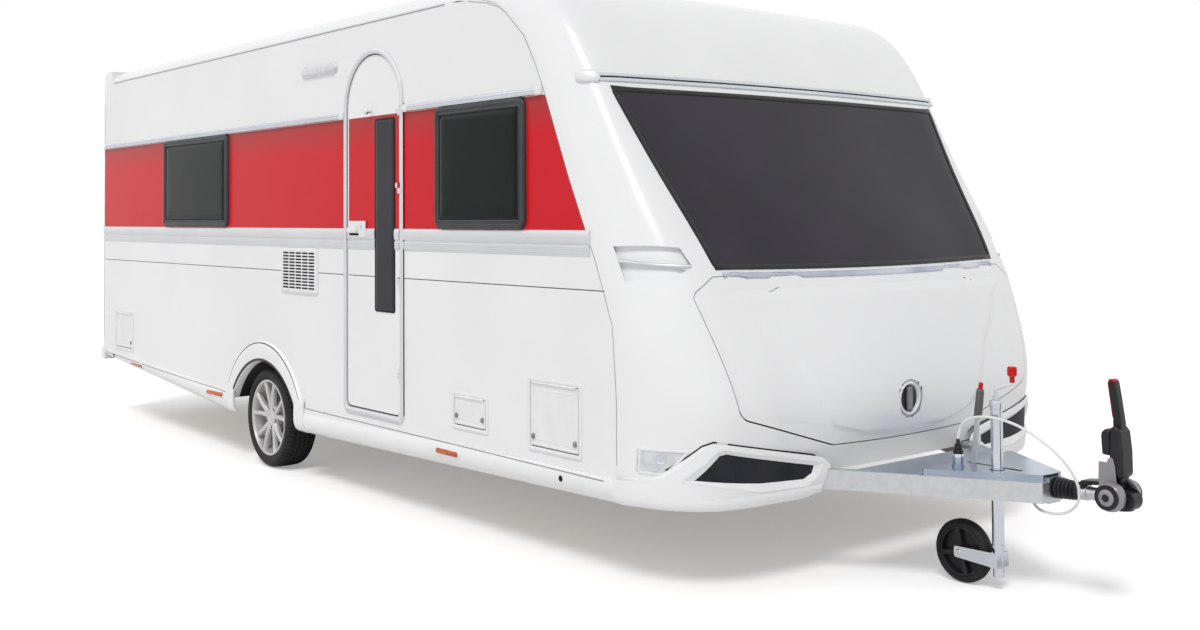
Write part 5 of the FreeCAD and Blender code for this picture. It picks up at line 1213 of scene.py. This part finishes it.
CABLE_ROUTE = (
    (3.262, -0.160, 0.5948), (3.268, -0.160, 0.640), (3.304, -0.158, 0.680), (3.372, -0.155, 0.698),
    (3.446, -0.151, 0.697), (3.518, -0.143, 0.682), (3.580, -0.132, 0.655), (3.640, -0.118, 0.616),
    (3.694, -0.103, 0.568), (3.732, -0.088, 0.514), (3.752, -0.074, 0.456), (3.742, -0.064, 0.400),
    (3.702, -0.057, 0.358), (3.648, -0.052, 0.338), (3.590, -0.046, 0.334), (3.545, -0.040, 0.340),
    (3.522, -0.034, 0.3644),
)


class CARAVAN_OT_cable(bpy.types.Operator):
    """Connector cable with its plug parked on the drawbar cover"""

    bl_idname = "caravan.cable"
    bl_label = "Cable and plug"

    def execute(self, context):
        sizes = context.scene.caravan_sizes
        foot = (3.262, -0.160, 0.0)
        profile = mm(0, 492.5, 15.8, 492.5, 15.8, 524, 20.5, 524.5, 21.2, 527, 21.2, 536, 19.6, 538, 20.6, 540,
            20.6, 546.5, 17.5, 550.5, 14.5, 552, 15.5, 554.5, 15.5, 560, 13.5, 562.5, 15, 565.5, 15, 571, 10.5, 573.5,
            9.2, 579, 8.6, 580, 8.6, 584, 7.8, 585, 7.4, 589, 6.8, 594.2, 0, 594.2)
        plug = turned("plug_body", profile, foot, "z", 40, 30)
        dress(plug, "black", ("connector_plug",))
        ring = turned("plug_ring", mm(20.8, 519.5, 22.2, 520.5, 22.6, 523.5, 22.6, 531.5, 21.8, 534.5, 20.6, 535,
            20.8, 519.5), foot, "z", 48)
        dress(ring, "chrome")
        deselect()
        bpy.ops.curve.primitive_nurbs_path_add()
        cord = bpy.context.active_object
        cord.name = cord.data.name = "connector_lead"
        curve = cord.data
        curve.splines.clear()
        spline = curve.splines.new("NURBS")
        spline.points.add(len(CABLE_ROUTE) - 1)
        for point, place in zip(spline.points, CABLE_ROUTE):
            point.co = (*place, 1)
        spline.order_u = 3
        spline.use_endpoint_u = True
        spline.resolution_u = 12
        curve.dimensions = "3D"
        curve.bevel_depth = sizes.cable_diameter / 2
        curve.bevel_resolution = 5
        curve.use_fill_caps = True
        curve.materials.clear()
        curve.materials.append(FINISHES["cable"])
        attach(cord, "root")
        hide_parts("connector_cable")
        return {"FINISHED"}


class CARAVAN_OT_hitch(bpy.types.Operator):
    """Bellows, coupling head lobes, stabiliser handle and handbrake"""

    bl_idname = "caravan.hitch"
    bl_label = "Coupling and handbrake"

    def execute(self, context):
        self.bellows()
        self.head()
        self.handle()
        self.handbrake()
        return {"FINISHED"}

    def bellows(self):
        profile = mm(25.3, 3600, 40, 3600, 42.5, 3603, 42.5, 3608)
        for fold in range(6):
            x, drop = 3.610 + fold * 0.0165, fold * 0.0011
            profile += [(0.034 - drop, x), (0.0355 - drop, x + 0.0035), (0.0415 - drop, x + 0.007),
                (0.0425 - drop, x + 0.009), (0.0415 - drop, x + 0.011), (0.0355 - drop, x + 0.0145)]
        profile += mm(29.5, 3708.5, 29.5, 3709.5, 25.3, 3709.9, 25.3, 3600)
        piece = turned("bellows", profile, (0, 0, HITCH_Z), "x", 56, 60)
        dress(piece, "black", ("overrun_bellows",))

    def head(self):
        """Grey side lobes and the black neck cover."""
        lobes, plugs = [], []
        for side in (-1, 1):
            profile = mm(0, 94.5, 14, 94, 28, 91.5, 40, 86, 49.5, 77.5, 55.5, 67, 57.5, 56, 56.5, 44.5, 0, 42.5)
            lobes.append(turned("lobe", [(r, side * y) for r, y in profile], LOBE, "y", 64))
            cap = mm(0, 96.2, 12.5, 96.2, 14.5, 94.5, 14.5, 88, 0, 88)
            plugs.append(turned("lobe_plug", [(r, side * y) for r, y in cap], LOBE, "y", 32))
            y = side * 0.0462
            lobes.append(plate("ear", mm(-56, -30, 30, -30, 12, 24, 8, 82, 0, 112, -10, 117, -20, 109, -26, 96,
                -58, 96, -60, 30), "y", y - 0.0028, y + 0.0028, 0.002, at=HANDLE))
        dress(join("friction_lobes", lobes), "lobe")
        dress(join("lobe_plugs", plugs), "black")
        cover = plate("neck_cover", mm(3722, 462, 3790, 470, 3830, 476, 3832, 487, 3790, 486.5, 3730, 480), "y",
            -0.033, 0.033, 0.004)
        posts = [block("neck_post", (3.726, y - 0.003, 0.447), (3.742, y + 0.003, 0.470), 0.002)
            for y in (-0.026, 0.026)]
        dress(join("neck_cover", [cover] + posts), "black")
        collar = turned("shaft_collar", mm(25.2, 3716, 29.5, 3717, 30.5, 3721, 30.5, 3742, 29.5, 3746, 25.2, 3747,
            25.2, 3716), (0, 0, HITCH_Z), "x", 48)
        dress(collar, "zinc")

    def handle(self):
        x, z = HANDLE
        stem = plate("stem", mm(-10, 6, 12, 6, 28, 45, 28, 70, -30, 70, -30, 45), "y", -0.024, 0.024, 0.004, 3,
            at=HANDLE)
        body = plate("body", mm(20, 34, 36, 50, 34, 140, 26, 212, 4, 238, -16, 224, -22, 60), "y", -0.042, 0.042,
            0.010, 4, at=HANDLE)
        shell = plate("shell", mm(-26, 120, -18, 120, -16, 210, -34, 222, -52, 206, -54, 190, -50, 122), "y", -0.040,
            0.040, 0.008, 4, at=HANDLE)
        neck = plate("neck", mm(-14, 205, 20, 205, 20, 245, 6, 340, -4, 398, -10, 403.5, -28, 403.5, -33, 396,
            -14, 262), "y", -0.019, 0.019, 0.006, 4, at=HANDLE)
        boss = rod("boss", (x, -0.0235, z), (x, 0.0235, z), 0.0112, 32)
        dress(join("stabiliser_handle", [stem, body, shell, neck, boss]), "black",
            ("coupling_handle",), body="coupling_handle")
        edge = mm(-17.5, 262, -10, 262, -27, 394, -36.2, 394)
        tip = mm(-34, 398.5, -6, 398.5, -10, 407.5, -29, 407.5)
        edges = [plate("grip_edge", edge, "y", -0.0165, 0.0165, 0.003, at=HANDLE),
            plate("grip_tip", tip, "y", -0.0175, 0.0175, 0.0035, at=HANDLE)]
        dress(join("handle_edges", edges), "red", body="coupling_handle")

    def handbrake(self):
        """Flat lever, dark shaped grip and red release button."""
        foot, lean = Vector((3.25, -0.048, 0.44)), atan2(50, 395)
        up = Vector((sin(lean), 0, cos(lean)))
        front = Vector((cos(lean), 0, -sin(lean)))
        side = Vector((0, 1, 0))

        def stack(name, rows, steps, power):
            loops = []
            for along, half_x, half_y in rows:
                ring = []
                for index in range(steps):
                    turn = tau * index / steps
                    c, s = cos(turn), sin(turn)
                    a = copysign(abs(c) ** power, c) * half_x
                    b = copysign(abs(s) ** power, s) * half_y
                    ring.append(foot + up * along + front * a + side * b)
                loops.append(ring)
            return loft(name, loops, angle=50)

        bar = stack("bar", [(-0.012, 0.009, 0.004), (0.0, 0.0148, 0.004), (0.02, 0.0148, 0.004),
            (0.24, 0.0112, 0.004)], 24, 0.45)
        pin = rod("pin", foot - side * 0.0062, foot + side * 0.0155, 0.0058, 24)
        dress(join("brake_lever_bar", [bar, pin]), "zinc", ("handbrake_lever",), body="handbrake_lever")
        grip = stack("brake_grip", [(0.232, 0.010, 0.009), (0.236, 0.0135, 0.012), (0.244, 0.0158, 0.014),
            (0.262, 0.0165, 0.0148), (0.30, 0.0158, 0.0142), (0.338, 0.0155, 0.0140), (0.350, 0.0138, 0.0125),
            (0.353, 0.011, 0.010)], 36, 0.75)
        dress(grip, "grip", body="handbrake_lever")
        button = stack("brake_button", [(0.350, 0.0095, 0.0095), (0.372, 0.0095, 0.0095), (0.3785, 0.008, 0.008),
            (0.3808, 0.004, 0.004)], 28, 1.0)
        dress(button, "red", body="handbrake_lever")


class CARAVAN_OT_jockey(bpy.types.Operator):
    """Jockey wheel, its collars, crank knob and clamp"""

    bl_idname = "caravan.jockey"
    bl_label = "Jockey wheel"

    def execute(self, context):
        x, y = JOCKEY
        hub = (x - 0.163, y, 0.129)
        tread = mm(102, -28, 106, -29.8, 112, -29.2, 118, -26.2, 124.5, -20.5, 128.2, -11.5, 129, 0, 128.2, 11.5,
            124.5, 20.5, 118, 26.2, 112, 29.2, 106, 29.8, 102, 28, 101, 0, 102, -28)
        dress(turned("jockey_tyre", tread, hub, "y", 72), "rubber", ("jockey_wheel",),
            body="jockey_wheel")
        rim = mm(102.5, -24.5, 98, -26.5, 92.5, -24.5, 90.5, -10, 90.5, 10, 92.5, 24.5, 98, 26.5, 102.5, 24.5,
            102.5, -24.5)
        core = [turned("rim", rim, hub, "y", 64)]
        boss = mm(9, -29.5, 22, -29.5, 25, -26, 26, 0, 25, 26, 22, 29.5, 9, 29.5, 9, -29.5)
        core.append(turned("boss", boss, hub, "y", 48))
        core.append(turned("web", mm(9, -4, 91.5, -3, 91.5, 3, 9, 4, 9, -4), hub, "y", 48))
        for spoke in range(4):
            turn = radians(90 * spoke + 102)
            out = Vector((cos(turn), 0, sin(turn)))
            across = Vector((-out.z, 0, out.x))
            loops = []
            for radius, half in mm(18, 12.5, 55, 10.5, 92.5, 12.5):
                loops.append([Vector(hub) + out * radius + across * (a * half) + Vector((0, b * 0.0225, 0))
                    for a, b in ((-1, -0.8), (-0.75, -1), (0.75, -1), (1, -0.8), (1, 0.8), (0.75, 1), (-0.75, 1),
                    (-1, 0.8))])
            core.append(loft("spoke", loops))
        dress(join("jockey_centre", core), "black", body="jockey_wheel")
        head = mm(0, 45.5, 10.5, 45.5, 12.5, 43.5, 12.5, 40, 0, 40)
        heads = [turned("head", [(radius, side * out) for radius, out in head], hub, "y", 6, 20) for side in (-1, 1)]
        dress(join("jockey_axle_heads", heads), "chrome", body="jockey_leg")
        collars = [turned("collar", [(0.0242, low), (0.0262, low + 0.001), (0.0268, low + 0.004),
            (0.0268, high - 0.004), (0.0262, high - 0.001), (0.0242, high), (0.0242, low)], (x, y, 0), "z", 48)
            for low, high in ((0.170, 0.184), (0.728, 0.7615))]
        dress(join("jockey_collars", collars), "chrome", body="jockey_tube")
        knob = turned("knob", mm(0, 832.5, 9.5, 832.5, 10.5, 836, 10.5, 855.5, 16.5, 858.5, 19.2, 862, 19.8, 868,
            19.8, 887.5, 18.8, 893.5, 16, 896.5, 0, 897), (x + 0.052, y + 0.034, 0), "z", 8, 20)
        dress(knob, "red", body="jockey_tube")
        clamp = turned("clamp_screw", mm(0, 0, 6, 0, 6, 30, 13, 31, 14.5, 34, 14.5, 43, 13, 46, 0, 46.5),
            (x + 0.033, y + 0.002, 0.418), "x", 24)
        dress(clamp, "black")
        return {"FINISHED"}


# ---------------------------------------------------------------- rear and roof

class CARAVAN_OT_rear(bpy.types.Operator):
    """Rear lamp clusters, number-plate recess, marker lamps and bumper grooves"""

    bl_idname = "caravan.rear"
    bl_label = "Rear"

    def execute(self, context):
        bodies, reds, ambers, clears = [], [], [], []
        for side in (-1, 1):
            y, x = side * 1.085, -3.925
            bodies.append(block("cluster", (x - 0.004, y - 0.079, 0.616), (-3.862, y + 0.079, 0.944), 0.016, 4))
            for z0, z1, group in ((0.632, 0.700, clears), (0.708, 0.776, ambers), (0.784, 0.928, reds)):
                rows = mm(0, 0, 0, 6, 3, 9.5, 12, 12, 30, 13)
                group.append(domed("lens", self.flat, (y - 0.066, y + 0.066, z0, z1), 0.014, rows, 5, 0.4, 0.002))
        dress(join("rear_lamp_bodies", bodies), "black")
        dress(join("rear_lenses_red", reds), "tail")
        dress(join("rear_lenses_amber", ambers), "amber")
        dress(join("rear_lenses_clear", clears), "lens")
        section = mm(0, -2, 0, 5, 3, 7, 10, 7, 13, 4, 13, -2)
        dress(framed("plate_recess", on_rear, (-0.28, 0.28, 0.66, 0.80), 0.012, section), "plastic")
        high = []
        for side in (-1, 1):
            ring, out = on_rear(rounded(side * 0.98 - 0.07, side * 0.98 + 0.07, 2.30, 2.345, 0.02, 5))
            ring = [point + Vector((0.012, 0, 0)) for point in ring]
            middle = sum(ring, Vector()) / len(ring)
            high.append(loft("high_lamp", [[middle + (point - middle) * share + out * lift for point in ring]
                for share, lift in ((1, 0.0), (1, 0.018), (0.93, 0.025), (0.75, 0.028))]))
        dress(join("rear_high_lamps", high), "tail")
        grooves = []
        for z in (0.452, 0.492):
            ring = [Vector((-3.9502, y / 10, z)) for y in range(-10, 11)]
            grooves.append(line_on("groove", ring, Vector((-1, 0, 0)), 0.005, 0.0012))
        dress(join("bumper_grooves", grooves), "sealant")
        return {"FINISHED"}

    def flat(self, ring):
        """Plane points (y, z) put on the lamp bodies' outer faces."""
        return [Vector((-3.928, y, z)) for y, z in ring], Vector((-1, 0, 0))


class CARAVAN_OT_roof(bpy.types.Operator):
    """Domed rooflight, its frame bead and the awning channels"""

    bl_idname = "caravan.roof"
    bl_label = "Roof"

    def execute(self, context):
        ground = lambda ring: ([Vector((x, y, 0)) for x, y in ring], Vector((0, 0, 1)))
        rows = mm(0, 2672, 0, 2682, 4, 2690, 30, 2697, 80, 2700, 140, 2700.5)
        dress(domed("rooflight_dome", ground, (-0.974, -0.226, -0.274, 0.274), 0.06, rows, 8, 0.3, 0.02), "dome",
            body="rooflight_lid")
        section = mm(-12, 2635.5, -12, 2641.5, -4, 2644.5, 0, 2644.5, 0, 2635.5)
        dress(framed("rooflight_sealant", ground, (-0.984, -0.216, -0.284, 0.284), 0.012, section, 4), "sealant")
        rails = []
        for side in (-1, 1):
            path, out = on_wall([(x / 10, 2.5525) for x in range(-36, 12)], side)
            section = mm(-6, -1, -6, 3.5, -3, 5.5, 3, 5.5, 6, 3.5, 6, -1)
            rails.append(moulding("awning_rail", path, out, section, closed=False))
        dress(join("awning_rails", rails), "plastic")
        return {"FINISHED"}


# ---------------------------------------------------------------- floor, light and camera

class CARAVAN_OT_stage(bpy.types.Operator):
    """Pale floor, plain soft light and the camera"""

    bl_idname = "caravan.stage"
    bl_label = "Floor, light and camera"

    def execute(self, context):
        deselect()
        bpy.ops.mesh.primitive_plane_add(size=160, location=(0, 0, CAD_BOX[0][2]))
        floor = added("studio_floor")
        settle(floor)
        floor.data.materials.append(self.paper())
        self.light(context)
        self.sun("key_light", (radians(38), 0, radians(38)), 1.4, 18)
        self.sun("fill_light", (radians(52), 0, radians(-40)), 0.3, 60)
        self.camera(context)
        context.scene.view_settings.view_transform = "Standard"
        return {"FINISHED"}

    def paper(self):
        """Pale matt floor that looks white to the camera but keeps the shadow."""
        material = finish("studio_paper", (0.93, 0.93, 0.93), 0.9, specular=0.0)
        mottled(material, (0.94, 0.94, 0.94), (0.925, 0.925, 0.925), 0.3)
        path = node(material, "ShaderNodeLightPath")
        glow = ramp(material, path.outputs["Is Camera Ray"], 0.0, 1.0, 0.0, 0.3)
        shader_of(material).inputs["Emission Color"].default_value = (1, 1, 1, 1)
        material.node_tree.links.new(glow, shader_of(material).inputs["Emission Strength"])
        return material

    def light(self, context):
        """White surroundings, half as strong for what they light as for what is seen or mirrored."""
        world = context.scene.world = bpy.data.worlds.new("studio_light")
        world.use_nodes = True
        links, background = world.node_tree.links, world.node_tree.nodes["Background"]
        path = node(world, "ShaderNodeLightPath")
        seen = path.outputs["Is Camera Ray"]
        for ray in ("Is Glossy Ray", "Is Transmission Ray"):
            either = node(world, "ShaderNodeMath", operation="MAXIMUM")
            links.new(seen, either.inputs[0])
            links.new(path.outputs[ray], either.inputs[1])
            seen = either.outputs["Value"]
        links.new(ramp(world, seen, 0.0, 1.0, 0.5, 1.0), background.inputs["Strength"])
        background.inputs["Color"].default_value = (1, 1, 1, 1)

    def sun(self, name, turn, strength, softness):
        deselect()
        bpy.ops.object.light_add(type="SUN", location=(0, 0, 8), rotation=turn)
        lamp = bpy.context.active_object
        lamp.name = name
        lamp.data.energy = strength
        lamp.data.angle = radians(softness)

    def camera(self, context):
        deselect()
        bpy.ops.object.camera_add(location=CAMERA_PLACE)
        camera = context.scene.camera = bpy.context.active_object
        camera.name = "photo_camera"
        turn = Euler((radians(CAMERA_TILT), 0, radians(CAMERA_HEADING))).to_quaternion()
        camera.rotation_mode = "QUATERNION"
        camera.rotation_quaternion = turn @ Euler((0, 0, radians(CAMERA_ROLL))).to_quaternion()
        camera.data.sensor_width = CAMERA_SENSOR
        camera.data.lens = CAMERA_LENS
        camera.data.shift_y = CAMERA_SHIFT


# ---------------------------------------------------------------- panel and order of work

STEPS = (
    CARAVAN_OT_stage, CARAVAN_OT_finishes, CARAVAN_OT_cable, CARAVAN_OT_belt, CARAVAN_OT_windows, CARAVAN_OT_door,
    CARAVAN_OT_hatches, CARAVAN_OT_skirts, CARAVAN_OT_seams, CARAVAN_OT_front, CARAVAN_OT_wheels, CARAVAN_OT_hitch,
    CARAVAN_OT_jockey, CARAVAN_OT_rear, CARAVAN_OT_roof,
)


class CARAVAN_PT_sidebar(bpy.types.Panel):
    """Sizes, colours and pieces of the caravan"""

    bl_idname = "CARAVAN_PT_sidebar"
    bl_label = "Travel Caravan"
    bl_space_type = "VIEW_3D"
    bl_region_type = "UI"
    bl_category = "Caravan"

    def draw(self, context):
        column = self.layout.column()
        for group in (context.scene.caravan_paint, context.scene.caravan_sizes):
            for name in group.__annotations__:
                column.prop(group, name)
        for step in STEPS:
            column.operator(step.bl_idname)


CLASSES = (CaravanPaint, CaravanSizes, *STEPS, CARAVAN_PT_sidebar)


def register():
    for each in CLASSES:
        bpy.utils.register_class(each)
    bpy.types.Scene.caravan_paint = PointerProperty(type=CaravanPaint)
    bpy.types.Scene.caravan_sizes = PointerProperty(type=CaravanSizes)


def unregister():
    del bpy.types.Scene.caravan_sizes
    del bpy.types.Scene.caravan_paint
    for each in reversed(CLASSES):
        bpy.utils.unregister_class(each)


def main():
    register()
    for step in STEPS:
        group, name = step.bl_idname.split(".")
        getattr(getattr(bpy.ops, group), name)()


if __name__ == "__main__":
    main()
